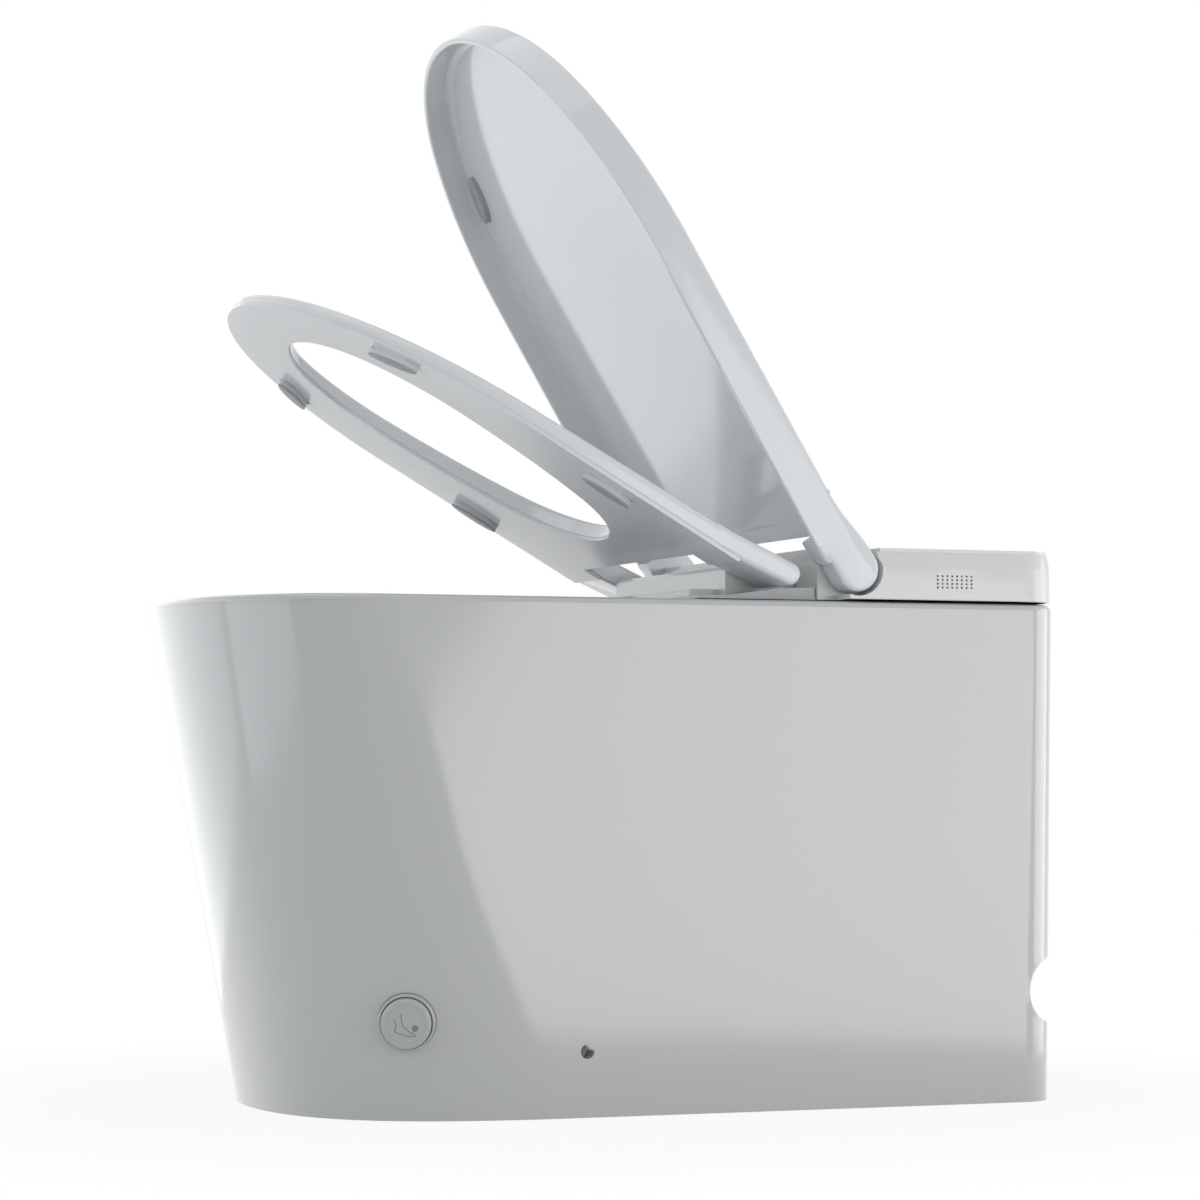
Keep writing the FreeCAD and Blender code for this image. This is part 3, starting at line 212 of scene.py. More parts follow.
def tail(half: float, side_y: float, rear: float, radius: float) -> Array:
    """Right side, rear with two round corners, and left side of a plan outline."""
    right = corner((half - radius, rear - radius), radius, 0.0, 9)
    left = corner((radius - half, rear - radius), radius, 90.0, 9)
    return np.concatenate(
        [
            straight((half, side_y), right[0], 30),
            right,
            straight(right[-1], left[0], 25),
            left,
            straight(left[-1], (-half, side_y), 30),
        ]
    )


def pushed(outline: Array, inset: float) -> Array:
    """Move a closed outline inwards along its normals, taken from its neighbours.

    Args:
        outline: Points (n, 2), anticlockwise.
        inset: Distance, positive inwards.

    Returns:
        The moved points.
    """
    along = np.roll(outline, -1, 0) - np.roll(outline, 1, 0)
    normal = np.stack([along[:, 1], -along[:, 0]], 1)
    normal /= np.maximum(np.linalg.norm(normal, axis=1, keepdims=True), 1e-9)
    return outline - inset * normal


def level(outline: Array, z: float | Array) -> Array:
    """Give a plan outline its height, one value or one for each point."""
    return np.column_stack([outline, np.broadcast_to(z, len(outline))])


def rounding(radius: float, steps: int = 5) -> tuple[Array, Array]:
    """Quarter circle as (inset, drop) pairs, from the side up to the top."""
    angle = np.linspace(0.0, np.pi / 2, steps)
    return radius * (1 - np.cos(angle)), radius * (1 - np.sin(angle))


def grid_mesh(name: str, rings: Array, wrap: bool = False, sharp: float = 35.0) -> bpy.types.Object:
    """Skin a stack of closed rings with quads; the ends get a cap unless the stack wraps.

    Args:
        name: Name of the piece.
        rings: Points (m, n, 3) in millimetres.
        wrap: True where the last ring runs on into the first.
        sharp: Angle in degrees past which an edge stays sharp.

    Returns:
        A new object, in metres.
    """
    rows, cols = rings.shape[:2]
    index = np.arange(rows * cols).reshape(rows, cols)
    below = index if wrap else index[:-1]
    above = np.roll(index, -1, 0) if wrap else index[1:]
    quads = np.stack([below, np.roll(below, -1, 1), np.roll(above, -1, 1), above], -1)
    faces = quads.reshape(-1, 4).tolist()
    if not wrap:
        faces += [index[0, ::-1].tolist(), index[-1].tolist()]
    mesh = bpy.data.meshes.new(name)
    mesh.from_pydata((rings.reshape(-1, 3) * MM).tolist(), [], faces)
    mesh.polygons.foreach_set("use_smooth", np.ones(len(mesh.polygons), bool))
    mesh.set_sharp_from_angle(angle=math.radians(sharp))
    made = bpy.data.objects.new(name, mesh)
    bpy.context.scene.collection.objects.link(made)
    return made


def prism(name: str, outline: Array, axis: int, start: float, end: float) -> bpy.types.Object:
    """Closed prism: an outline carried along one axis.

    Args:
        name: Name of the piece.
        outline: Points (n, 2) in the two other axes, in cyclic order.
        axis: 0, 1 or 2 for X, Y or Z.
        start: Where the prism begins on the axis.
        end: Where it ends.

    Returns:
        The new object.
    """
    ends = []
    for place in (start, end):
        ring = np.empty((len(outline), 3))
        ring[:, axis] = place
        ring[:, (axis + 1) % 3] = outline[:, 0]
        ring[:, (axis + 2) % 3] = outline[:, 1]
        ends.append(ring)
    return grid_mesh(name, np.stack(ends))


def block(name: str, low: tuple, high: tuple) -> bpy.types.Object:
    """Plain box between two corners."""
    plan = np.array([(low[0], low[1]), (high[0], low[1]), (high[0], high[1]), (low[0], high[1])])
    return prism(name, plan.astype(float), 2, low[2], high[2])


def circle(radius: float, count: int = 32) -> Array:
    """Points of a circle round the origin, anticlockwise."""
    angle = np.linspace(0, 2 * np.pi, count, endpoint=False)
    return radius * np.stack([np.cos(angle), np.sin(angle)], 1)


def oval(place: tuple[float, float, float], inset: float) -> Array:
    """Plan of a soft foot: a long oval with slender, round ends.

    The half width at a share u of the half length is 7.2 times (1 - u squared) to the power
    0.62, so that the ends come out slender and still round.

    Args:
        place: X, Y and turn in degrees of the oval's middle.
        inset: How far the outline is drawn in.

    Returns:
        Points (48, 2), anticlockwise.
    """
    x, y, turn = place
    angle = np.linspace(0, 2 * np.pi, 48, endpoint=False)
    along = np.cos(angle)
    across = np.sign(np.sin(angle)) * np.abs(np.sin(angle)) ** 1.24
    plan = np.stack([(22.8 - inset) * along, (7.2 - inset) * across], 1)
    cos, sin = math.cos(math.radians(turn)), math.sin(math.radians(turn))
    return np.stack([x + plan[:, 0] * cos - plan[:, 1] * sin, y + plan[:, 0] * sin + plan[:, 1] * cos], 1)


def frame_of(axis: Vector) -> tuple[Vector, Vector, Vector]:
    """Two directions square to an axis, and the axis, in right-handed order."""
    way = axis.normalized()
    first = Vector((0, 0, 1)).cross(way)
    first = first.normalized() if first.length > 1e-6 else Vector((1, 0, 0))
    return first, way.cross(first), way


def lathe(
    name: str, profile: list[tuple[float, float]], base: Vector, axis: Vector, wrap: bool, count: int = 72
) -> bpy.types.Object:
    """Turn a profile round an axis.

    Args:
        name: Name of the piece.
        profile: (radius, height) pairs, going so that the outside is on the right.
        base: Point on the axis at height zero, in millimetres.
        axis: Direction of the axis.
        wrap: True for a ring whose profile closes on itself.
        count: Number of steps round.

    Returns:
        The new object.
    """
    first, second, way = (np.array(v) for v in frame_of(axis))
    turn = circle(1.0, count)
    spoke = turn[:, :1] * first + turn[:, 1:] * second
    pairs = np.array(profile)
    rings = np.array(base) + pairs[:, 0][:, None, None] * spoke + pairs[:, 1][:, None, None] * way
    return grid_mesh(name, rings, wrap=wrap)


def tube(name: str, path: Array, radius: float, count: int = 24) -> bpy.types.Object:
    """Round bar: circles set square to a path that bends in one upright plane.

    Args:
        name: Name of the piece.
        path: Points (m, 3).
        radius: Radius of the bar.
        count: Number of steps round.

    Returns:
        The new object, closed at both ends.
    """
    along = np.gradient(path, axis=0)
    along /= np.linalg.norm(along, axis=1, keepdims=True)
    across = np.cross(along[0], along[-1])
    if np.linalg.norm(across) < 1e-6:
        across = np.cross(along[0], (0.0, 0.0, 1.0))
    across = np.broadcast_to(across / np.linalg.norm(across), path.shape)
    up = np.cross(along, across)
    turn = circle(radius, count)
    rings = path[:, None] + turn[None, :, :1] * across[:, None] + turn[None, :, 1:] * up[:, None]
    return grid_mesh(name, rings)


def carved(
    target: bpy.types.Object, adds: list[bpy.types.Object], cuts: list[bpy.types.Object], sharp: float = 35.0
) -> bpy.types.Object:
    """Join pieces to a solid and cut others out of it, leaving one plain mesh.

    Args:
        target: The solid, which keeps its name.
        adds: Solids to join, removed afterwards.
        cuts: Solids to cut away, removed afterwards.
        sharp: Angle in degrees past which an edge stays sharp.

    Returns:
        The target with its new mesh.
    """
    for tool, operation in [(t, "UNION") for t in adds] + [(t, "DIFFERENCE") for t in cuts]:
        step = target.modifiers.new(tool.name, "BOOLEAN")
        step.operation = operation
        step.solver = "EXACT"
        step.object = tool
    deps = bpy.context.evaluated_depsgraph_get()
    mesh = bpy.data.meshes.new_from_object(target.evaluated_get(deps))
    target.modifiers.clear()
    old = target.data
    target.data = mesh
    mesh.name = target.name
    bpy.data.meshes.remove(old)
    for tool in adds + cuts:
        bpy.data.meshes.remove(tool.data)
    mesh.polygons.foreach_set("use_smooth", np.ones(len(mesh.polygons), bool))
    mesh.set_sharp_from_angle(angle=math.radians(sharp))
    return target


def swung(target: bpy.types.Object, axis: tuple[float, float], angle: float) -> bpy.types.Object:
    """Turn a closed lid or seat piece up about its hinge line, as a whole array.

    Args:
        target: Piece drawn in the closed pose.
        axis: Y and Z of the hinge line, in millimetres.
        angle: Opening angle in degrees.

    Returns:
        The same piece in the rest pose.
    """
    turn = math.radians(angle)
    points = np.empty(len(target.data.vertices) * 3)
    target.data.vertices.foreach_get("co", points)
    points = points.reshape(-1, 3)
    y, z = points[:, 1] - axis[0] * MM, points[:, 2] - axis[1] * MM
    points[:, 1] = axis[0] * MM + y * math.cos(turn) + z * math.sin(turn)
    points[:, 2] = axis[1] * MM - y * math.sin(turn) + z * math.cos(turn)
    target.data.vertices.foreach_set("co", points.ravel())
    target.data.update()
    return target


def dress(
    piece: bpy.types.Object, finish: Finish, body: Body, nodes: tuple[str, ...] = ()
) -> bpy.types.Object:
    """Give a new piece its finish, body and material slot, and let it stand for CAD nodes."""
    piece.data.materials.clear()
    piece.data.materials.append(finish.material())
    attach(piece, body.value)
    if nodes:
        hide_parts(*nodes)
    LOG.info("%s: %d faces", piece.name, len(piece.data.polygons))
    return piece


# ------------------------------------------------------------------ the casting


@dataclass
class Casting:
    """Glazed body: skirt, rim, deck, bowl and trapway in one closed form, in millimetres."""

    rim_z: float = 405.0
    rim: tuple[float, float, float] = (192.2, -350.0, 128.0)
    foot: tuple[float, float, float] = (186.0, -273.0, 210.0)
    rim_fullness: tuple[float, float] = (0.529, 0.660)
    foot_fullness: tuple[float, float] = (0.819, 0.580)
    rear_y: tuple[float, float] = (361.0, 364.0)
    corner_r: float = 36.0
    wall: float = 12.0
    deck: float = 13.0
    rim_edge: float = 5.0
    bowl_r: float = 119.0
    bowl_y: tuple[float, float] = (-184.0, -85.0)
    bowl_fall: float = 55.0
    bowl_wall: float = 10.0
    well: tuple[float, float] = (38.0, 76.0)
    trap_r: tuple[float, float] = (25.0, 33.0)
    trap_bend: float = 34.5
    button_at: float = 0.66
    button_z: float = 76.4
    notch: tuple[float, float, float] = (26.7, 358.0, 90.0)

    def quarter(self, z: float, s: Array) -> tuple[Array, Array]:
        """X and Y of the skirt's quarter nose at a height.

        The nose is a cubic curve at the foot and another at the rim, and every point of the
        skirt lies on the straight line between the two.
        """
        share = z / self.rim_z
        places = []
        for (half, front, depth), (a, b) in (
            (self.foot, self.foot_fullness),
            (self.rim, self.rim_fullness),
        ):
            x = half * (3 * (1 - s) ** 2 * s * a + 3 * (1 - s) * s**2 + s**3)
            y = front + depth * (3 * (1 - s) * s**2 * (1 - b) + s**3)
            places.append((x, y))
        (x0, y0), (x1, y1) = places
        return x0 + (x1 - x0) * share, y0 + (y1 - y0) * share

    def outline(self, z: float) -> Array:
        """Closed plan of the skirt at a height, anticlockwise from the left flank."""
        s = np.linspace(0.0, 1.0, 49)
        x, y = self.quarter(z, s)
        nose = np.concatenate([np.stack([-x, y], 1)[:0:-1], np.stack([x, y], 1)])
        rear = self.rear_y[0] + (self.rear_y[1] - self.rear_y[0]) * z / self.rim_z
        return np.concatenate([nose, tail(float(x[-1]), float(y[-1]), rear, self.corner_r)])

    def bowl_ring(self, grow: float, share: float, top: float | None = None) -> Array:
        """One ring of the bowl: a stadium whose front half stands higher than its rear.

        Seen from the bowl's middle, each ring point lies in the same direction as the rim's
        point. The distance is where that direction meets the stadium: x = r on the straight
        sides, and the end circle elsewhere.

        Args:
            grow: Wall thickness outside the bowl, or zero for the inside.
            share: 0 at the well and 1 where the upright upper wall begins.
            top: Height of a level ring at the top, in place of the fall.

        Returns:
            Points (n, 3).
        """
        front, back = self.bowl_y
        middle, reach = (front + back) / 2, (back - front) / 2
        rim = self.outline(self.rim_z) - (0.0, middle)
        way = rim / np.linalg.norm(rim, axis=1, keepdims=True)
        radius = self.well[0] + (self.bowl_r - self.well[0]) * share**0.47 + grow
        side = radius / np.maximum(np.abs(way[:, 0]), 1e-9)
        on_side = np.abs(side * way[:, 1]) <= reach
        across = np.minimum(np.abs(reach * way[:, 0]), radius)
        end = reach * np.abs(way[:, 1]) + np.sqrt(radius**2 - across**2)
        plan = way * np.where(on_side, side, end)[:, None]
        plan[:, 1] += middle
        lift = np.clip((back - plan[:, 1]) / (back - front), 0.0, 1.0)
        height = self.well[1] - grow + (325.0 - self.well[1]) * share + self.bowl_fall * lift
        return level(plan, top if top is not None else height)

    def skin_rings(self) -> Array:
        """Every ring of the closed form, from under the bowl, round the skirt, into the bowl."""
        shares = np.linspace(0.0, 1.0, 22) ** 1.5
        rings = [self.bowl_ring(self.bowl_wall, s) for s in shares]
        under = self.rim_z - self.deck
        rings.append(self.bowl_ring(self.bowl_wall, 1.0, under))
        rings += [level(pushed(self.outline(z), self.wall), z) for z in np.linspace(under, 0, 10)]
        rings += [level(self.outline(z), z) for z in np.linspace(0, self.rim_z - self.rim_edge, 34)]
        edge = self.outline(self.rim_z)
        for inset, drop in zip(*rounding(self.rim_edge)):
            rings.append(level(pushed(edge, inset), self.rim_z - drop))
        for inset, drop in list(zip(*rounding(self.rim_edge)))[::-1]:
            rings.append(self.bowl_ring(self.rim_edge - inset, 1.0, self.rim_z - drop))
            rings[-1][:, :2] = self.bowl_ring(inset, 1.0)[:, :2]
        rings.append(self.bowl_ring(0.0, 1.0, self.rim_z - 12.0))
        rings += [self.bowl_ring(0.0, s) for s in shares[::-1]]
        return np.stack(rings)

    def trap_path(self, end_z: float) -> Array:
        """Centre line of the trapway: straight legs joined by round bends of one radius.

        At a corner, the bend's centre lies on the bisector, bend / sin(half the corner's
        angle) away, and the bend sweeps the angle that the path turns by.

        Args:
            end_z: Height of the outlet's end.

        Returns:
            Points (n, 3).
        """
        legs = [(-80, 100), (-12, 48), (60, 214), (138, 196), (57, 60), (57, end_z)]
        corners = np.array(legs, float)
        runs = [corners[:1]]
        for before, here, after in zip(corners, corners[1:], corners[2:]):
            u = (before - here) / np.linalg.norm(before - here)
            w = (after - here) / np.linalg.norm(after - here)
            half = 0.5 * math.acos(float(u @ w))
            middle = here + (u + w) / np.linalg.norm(u + w) * self.trap_bend / math.sin(half)
            spoke = here + u * self.trap_bend / math.tan(half) - middle
            way = math.copysign(1.0, float(w[0] * u[1] - w[1] * u[0]))
            turn = way * np.linspace(0.0, math.pi - 2 * half, 11)
            arc = np.stack([spoke[0] * np.cos(turn) - spoke[1] * np.sin(turn),
                            spoke[0] * np.sin(turn) + spoke[1] * np.cos(turn)], 1)
            runs.append(middle + arc)
        path = np.concatenate(runs + [corners[-1:]])
        return np.column_stack([np.zeros(len(path)), path])

    def bowl_core(self) -> bpy.types.Object:
        """Space inside the bowl, a hair smaller than the bowl itself."""
        shares = np.linspace(0.0, 1.0, 16) ** 1.5
        rings = [self.bowl_ring(-0.3, s) for s in shares]
        return grid_mesh("cut_core", np.stack(rings + [self.bowl_ring(-0.3, 1.0, self.rim_z - 8.0)]))

    def button_frame(self) -> tuple[Vector, Vector]:
        """Centre of the foot button on the skirt, and the outward direction there."""
        at, z, step = self.button_at, self.button_z, 0.01
        middle = self.quarter(z, at)
        before, after = self.quarter(z, at - step), self.quarter(z, at + step)
        low, high = self.quarter(z - 1, at), self.quarter(z + 1, at)
        along = Vector((after[0] - before[0], after[1] - before[1], 0.0))
        upward = Vector((high[0] - low[0], high[1] - low[1], 2.0))
        return Vector((*middle, z)), along.cross(upward).normalized()

    def cutters(self) -> list[bpy.types.Object]:
        """Solids that cut the casting's openings."""
        arch_x, arch_z, arch_r = 142.0, 322.0, 45.0
        turn = np.radians(np.linspace(0, 90, 10))
        high, wide = arch_z - arch_r, arch_x - arch_r
        right = np.stack([high + arch_r * np.sin(turn), wide + arch_r * np.cos(turn)], 1)
        left = right[::-1] * (1, -1)
        arch = np.concatenate([left[::-1], right[::-1], [(-1.0, arch_x), (-1.0, -arch_x)]])
        centre, out = self.button_frame()
        return [
            self.bowl_core(),
            prism("cut_recess", arch, 1, 321.0, 374.0),
            block("cut_deck", (-132, 160, 372), (132, 322, 410)),
            block("cut_slot", (-30, 10, 366), (30, 165, 410)),
            prism("cut_notch", circle(self.notch[0], 48) + self.notch[1:], 0, -220, 220),
            prism("cut_fixing", circle(5.75) + (-54.0, 51.4), 0, -220, 220),
            lathe("cut_button", [(22.8, -7.0), (22.8, 15.0)], centre, out, False, 48),
            lathe("cut_sleeve", [(17.0, -60.0), (17.0, 0.0)], centre, out, False, 48),
            tube("cut_trap", self.trap_path(12.0), self.trap_r[0]),
        ]

    def build(self) -> None:
        """Make the casting and let it stand for the CAD casting."""
        body = grid_mesh("ceramic_casting", self.skin_rings())
        carved(body, [tube("trap_wall", self.trap_path(22.0), self.trap_r[1])], self.cutters())
        dress(body, GLAZE, Body.TOILET, ("ceramic_body",))


# ------------------------------------------------------------------ seat


@dataclass
class Seat:
    """Heated seat ring with its arms, under-plate and feet, drawn closed, in millimetres."""

    axis: tuple[float, float] = (120.6, 426.7)
    opening: float = 29.9
    half: float = 185.5
    tip: float = -342.0
    nose: float = 210.0
    flank: float = 238.0
    rear: float = 61.0
    under: float = 411.5
    top: tuple[float, float] = (422.9, 430.2)
    edge: float = 6.5
    plate: float = 3.0
    hole_half: float = 103.0
    hole: tuple[float, float, float] = (-285.0, -162.0, 23.0)
    hole_flank: tuple[float, float] = (150.0, 400.0)
    arm_x: float = 124.0
    arm_end: float = 9.0
    bend_y: float = 78.0
    pin_r: float = 4.05
    foot_z: tuple[float, float, float, float] = (405.4, 406.9, 406.6, 412.3)
    feet: tuple[tuple[float, float, float], ...] = (
        (140.0, -237.0, 50.0),
        (-140.0, -237.0, -50.0),
        (160.0, -40.0, 90.0),
        (-160.0, -40.0, 90.0),
    )

    def outer(self, inset: float) -> Array:
        """Plan of the ring's outside, drawn in by an inset."""
        nose = arc_nose(self.half - inset, self.tip + inset, self.nose - inset, self.flank - inset, 97)
        side_y = self.tip + self.nose
        return np.concatenate([nose, tail(self.half - inset, side_y, self.rear - inset, 3.0)])

    def inner(self, grow: float) -> Array:
        """Plan of the hole, each point in the direction of the outside's point.

        The hole's own curve is worked out finely, and then read off by its angle round the
        middle of the hole.
        """
        front, wide, back = self.hole
        half, flanks = self.hole_half + grow, (self.hole_flank[0] + grow, self.hole_flank[1] + grow)
        ahead = arc_nose(half, front - grow, wide - front + grow, flanks[0], 200)
        behind = arc_nose(half, back + grow, wide - back - grow, flanks[1], 200)
        curve = np.concatenate([ahead, behind[::-1]]) - (0.0, wide)
        angle = np.unwrap(np.arctan2(curve[:, 1], curve[:, 0]))
        reach = np.linalg.norm(curve, axis=1)
        outside = self.outer(0.0) - (0.0, wide)
        wanted = np.mod(np.arctan2(outside[:, 1], outside[:, 0]) - angle[0], 2 * np.pi) + angle[0]
        far = np.interp(wanted, angle, reach)
        unit = outside / np.linalg.norm(outside, axis=1, keepdims=True)
        return unit * far[:, None] + (0.0, wide)

    def crest(self, y: Array) -> Array:
        """Height of the seat's sloping top at a place along Y."""
        slope = (self.top[1] - self.top[0]) / (self.rear - self.tip)
        return self.top[0] + slope * (y - self.tip)

    def shell(self) -> bpy.types.Object:
        """Upper shell: a closed ring with a round outer edge and a hole wall that slants out."""
        low = self.under + self.plate
        rings = [level(self.inner(0.0), low), level(self.outer(1.0), low), level(self.outer(0.0), low + 1.0)]
        for inset, drop in zip(*rounding(self.edge, 7)):
            plan = self.outer(inset)
            rings.append(level(plan, self.crest(plan[:, 1]) - drop))
        lip = 5.0
        for inset, drop in list(zip(*rounding(lip, 6)))[::-1]:
            plan = self.inner(2.5 + inset)
            rings.append(level(plan, self.crest(plan[:, 1]) - drop))
        return grid_mesh("seat_shell", np.stack(rings), wrap=True)

    def arm(self, side: int) -> bpy.types.Object:
        """Arm from the ring to the round end on the hinge, with rounded edges."""
        cy, cz = self.axis
        turn = np.radians(np.linspace(-78.0, 95.0, 25))
        end = np.stack([cy + self.arm_end * np.cos(turn), cz + self.arm_end * np.sin(turn)], 1)
        start_y = self.rear - 14.0
        start = np.array([(start_y, float(self.crest(np.array(start_y))) - 0.02)])
        sole = np.array([(start_y, self.under + self.plate), (self.bend_y, self.under + self.plate - 1.6)])
        crest = np.array([(self.rear, self.top[1] - 0.02)])
        outline = np.concatenate([sole, end, crest, start])
        rings = []
        for x, inset in ((self.arm_x, 2.0), (self.arm_x + 2.0, 0.0), (self.half - 4.0, 0.0),
                         (self.half - 2.0, 0.6), (self.half - 0.6, 2.0), (self.half, 4.0)):
            rings.append(np.column_stack([np.full(len(outline), x), pushed(outline, inset)]))
        made = np.stack(rings)
        if side < 0:
            made = made[:, ::-1] * (-1, 1, 1)
        return grid_mesh("seat_arm_right" if side > 0 else "seat_arm_left", made)

    def foot(
        self, place: tuple[float, float, float], low: float, high: float, name: str
    ) -> bpy.types.Object:
        """Oval foot between two levels, round at its lower edge.

        Args:
            place: X, Y and turn in degrees.
            low: Level of the face that meets the rim.
            high: Level where the foot ends above.
            name: Name of the piece.

        Returns:
            The new object, drawn in the closed pose.
        """
        edge = list(zip(*rounding(0.8, 4)))[::-1]
        rings = [level(oval(place, inset), low + drop) for inset, drop in edge]
        rings.append(level(oval(place, 0.0), high))
        return grid_mesh(name, np.stack(rings))

    def build(self) -> None:
        """Make the seat's pieces and turn them up to the rest pose."""
        shell = self.shell()
        pin = prism("pin_bore", circle(self.pin_r) + self.axis, 0, -152, 152)
        keep = block("pin_keep", (-self.arm_x + 3, 60, 400), (self.arm_x - 3, 180, 460))
        carved(pin, [], [keep])
        carved(shell, [self.arm(1), self.arm(-1)], [pin])
        swung(shell, self.axis, self.opening)
        dress(shell, SEAT_WHITE, Body.SEAT, ("seat_top_shell",))
        for index, place in enumerate(self.feet):
            face = self.foot(place, self.foot_z[0], self.foot_z[1], f"foot_face_{index}")
            swung(face, self.axis, self.opening)
            dress(face, SOFT_GREY, Body.SEAT, ("seat_bumpers",) if index == 0 else ())
            pad = self.foot(place, self.foot_z[2], self.foot_z[3], f"foot_pad_{index}")
            swung(pad, self.axis, self.opening)
            dress(pad, PAD_WHITE, Body.SEAT)


# ------------------------------------------------------------------ lid


@dataclass
class Lid:
    """One-piece lid with a tray beneath and an ear at each rear corner, drawn closed."""

    axis: tuple[float, float] = (177.1, 431.0)
    opening: float = 59.26
    half: float = 192.4
    tip: float = -348.7
    nose: float = 224.0
    flank: float = 262.0
    rear: float = 145.5
    tray_rear: float = 138.0
    rim_z: float = 408.0
    top: tuple[float, float] = (436.5, 441.0)
    wall: float = 4.8
    panel: float = 4.0
    edge: float = 4.0
    cove: float = 9.0
    arm_cove: float = 6.0
    gap: float = 0.05
    ear_x: float = 168.0
    ear_r: float = 18.0
    shaft_r: float = 6.05
    pad_at: tuple[float, float, float] = (162.0, -215.0, 68.0)

    def plan(self, inset: float, rear: float, radius: float) -> Array:
        """Plan of the lid drawn in by an inset, with its own rear line."""
        nose = arc_nose(self.half - inset, self.tip + inset, self.nose - inset, self.flank - inset, 129)
        return np.concatenate([nose, tail(self.half - inset, self.tip + self.nose, rear, radius)])

    def crest(self, y: Array) -> Array:
        """Height of the lid's sloping top at a place along Y."""
        slope = (self.top[1] - self.top[0]) / (self.rear - self.tip)
        return self.top[0] + slope * (y - self.tip)

    def rings(self) -> Array:
        """Rings from the middle of the tray, down its wall, round the rim and up over the top."""
        core = np.array([0.0, -80.0])
        ceiling = self.plan(self.wall + self.cove, self.tray_rear - self.cove, 2.0)
        rings = []
        for share in np.linspace(0.02, 1.0, 10)[:-1]:
            plan = core + (ceiling - core) * share
            rings.append(level(plan, self.crest(plan[:, 1]) - self.panel))
        for inset, drop in list(zip(*rounding(self.cove, 9)))[::-1]:
            plan = self.plan(self.wall + inset, self.tray_rear - inset, 2.0)
            rings.append(level(plan, self.crest(plan[:, 1]) - self.panel - drop))
        lip = 1.0
        inner = self.plan(self.wall, self.tray_rear, 2.0)
        rings.append(level(inner, self.rim_z + lip))
        rings.append(level(self.plan(self.wall - lip, self.tray_rear + lip, 2.0), self.rim_z))
        rings.append(level(self.plan(lip, self.rear - lip, 2.0), self.rim_z))
        rings.append(level(self.plan(0.0, self.rear, 2.0), self.rim_z + lip))
        for inset, drop in zip(*rounding(self.edge, 6)):
            plan = self.plan(inset, self.rear, 2.0)
            rings.append(level(plan, self.crest(plan[:, 1]) - drop))
        top = rings[-1][:, :2]
        for share in np.linspace(1.0, 0.02, 8)[1:]:
            plan = core + (top - core) * share
            rings.append(level(plan, self.crest(plan[:, 1])))
        return np.stack(rings)

    def ear(self, side: int) -> bpy.types.Object:
        """Ear: a disc on the hinge run into the lid by a curve that swings up over it."""
        y, z = self.axis
        r = self.ear_r
        turn = np.radians(np.linspace(-90.0, 90.0, 33))
        disc = np.stack([y + r * np.cos(turn), z + r * np.sin(turn)], 1)
        foot_y = 108.0
        s = np.linspace(0.0, 1.0, 22)[1:, None]
        start, end = disc[-1], np.array([foot_y, float(self.crest(np.array(foot_y)))])
        pull_a, pull_b = start - (26.0, 0.0), end + (34.0, 0.3)
        swoop = (1 - s) ** 3 * start + 3 * (1 - s) ** 2 * s * pull_a
        swoop = swoop + 3 * (1 - s) * s**2 * pull_b + s**3 * end
        toe = np.array([(foot_y, self.rim_z + 0.02), (156.0, self.rim_z + 0.02), (159.5, self.rim_z + 1.5),
                        (162.0, z - r)])
        outline = np.concatenate([toe, disc, swoop])
        rings = []
        side_x = self.half - self.gap
        for x, inset in ((self.ear_x, 1.5), (self.ear_x + 1.5, 0.0), (side_x - 4.0, 0.0),
                         (side_x - 2.3, 0.4), (side_x - 0.9, 1.3), (side_x, 3.0)):
            rings.append(np.column_stack([np.full(len(outline), x), pushed(outline, inset)]))
        made = np.stack(rings)
        if side < 0:
            made = made[:, ::-1] * (-1, 1, 1)
        return grid_mesh("lid_ear_right" if side > 0 else "lid_ear_left", made)

    def arm_rooms(self) -> list[bpy.types.Object]:
        """Cutters that run the tray on through the ears, where the closed seat's arms lie."""
        edge, top = self.half - self.wall + 6 * self.gap, 436.55
        low = [(395.0, self.ear_x - 0.5), (top, self.ear_x - 0.5)]
        shoulder = corner((top - self.arm_cove, edge - self.arm_cove), self.arm_cove, 0.0, 7)
        plan = np.concatenate([low, shoulder, [(395.0, edge)]])
        mirrored = plan[::-1] * (1, -1)
        return [
            prism("cut_arm_right", plan, 1, 107.3, self.tray_rear - self.gap),
            prism("cut_arm_left", mirrored, 1, 107.3, self.tray_rear - self.gap),
        ]

    def pad(self, side: int) -> bpy.types.Object:
        """Soft oval pad in the tray that meets the seat, round at its free edge."""
        place = (side * self.pad_at[0], self.pad_at[1], side * self.pad_at[2])
        rings = [level(oval(place, inset), 428.6 + drop) for inset, drop in list(zip(*rounding(1.6)))[::-1]]
        rings.append(level(oval(place, 0.0), 434.0))
        return grid_mesh("lid_pad_right" if side > 0 else "lid_pad_left", np.stack(rings))

    def build(self) -> None:
        """Make the lid's pieces and turn them up to the rest pose."""
        shell = grid_mesh("lid_shell_skin", self.rings())
        mouth = block("cut_mouth", (-self.ear_x, 120, 395), (self.ear_x, 148, 436.4))
        bores = []
        for low, high in ((self.ear_x - 1, 182.0), (-182.0, 1 - self.ear_x)):
            bores.append(prism(f"cut_bore_{int(low)}", circle(self.shaft_r) + self.axis, 0, low, high))
        carved(shell, [self.ear(1), self.ear(-1)], [mouth] + self.arm_rooms() + bores)
        swung(shell, self.axis, self.opening)
        dress(shell, LID_WHITE, Body.LID, ("lid_shell",))
        for side in (1, -1):
            pad = swung(self.pad(side), self.axis, self.opening)
            dress(pad, SOFT_GREY, Body.LID, ("lid_bumpers",) if side > 0 else ())


# ------------------------------------------------------------------ rear housing


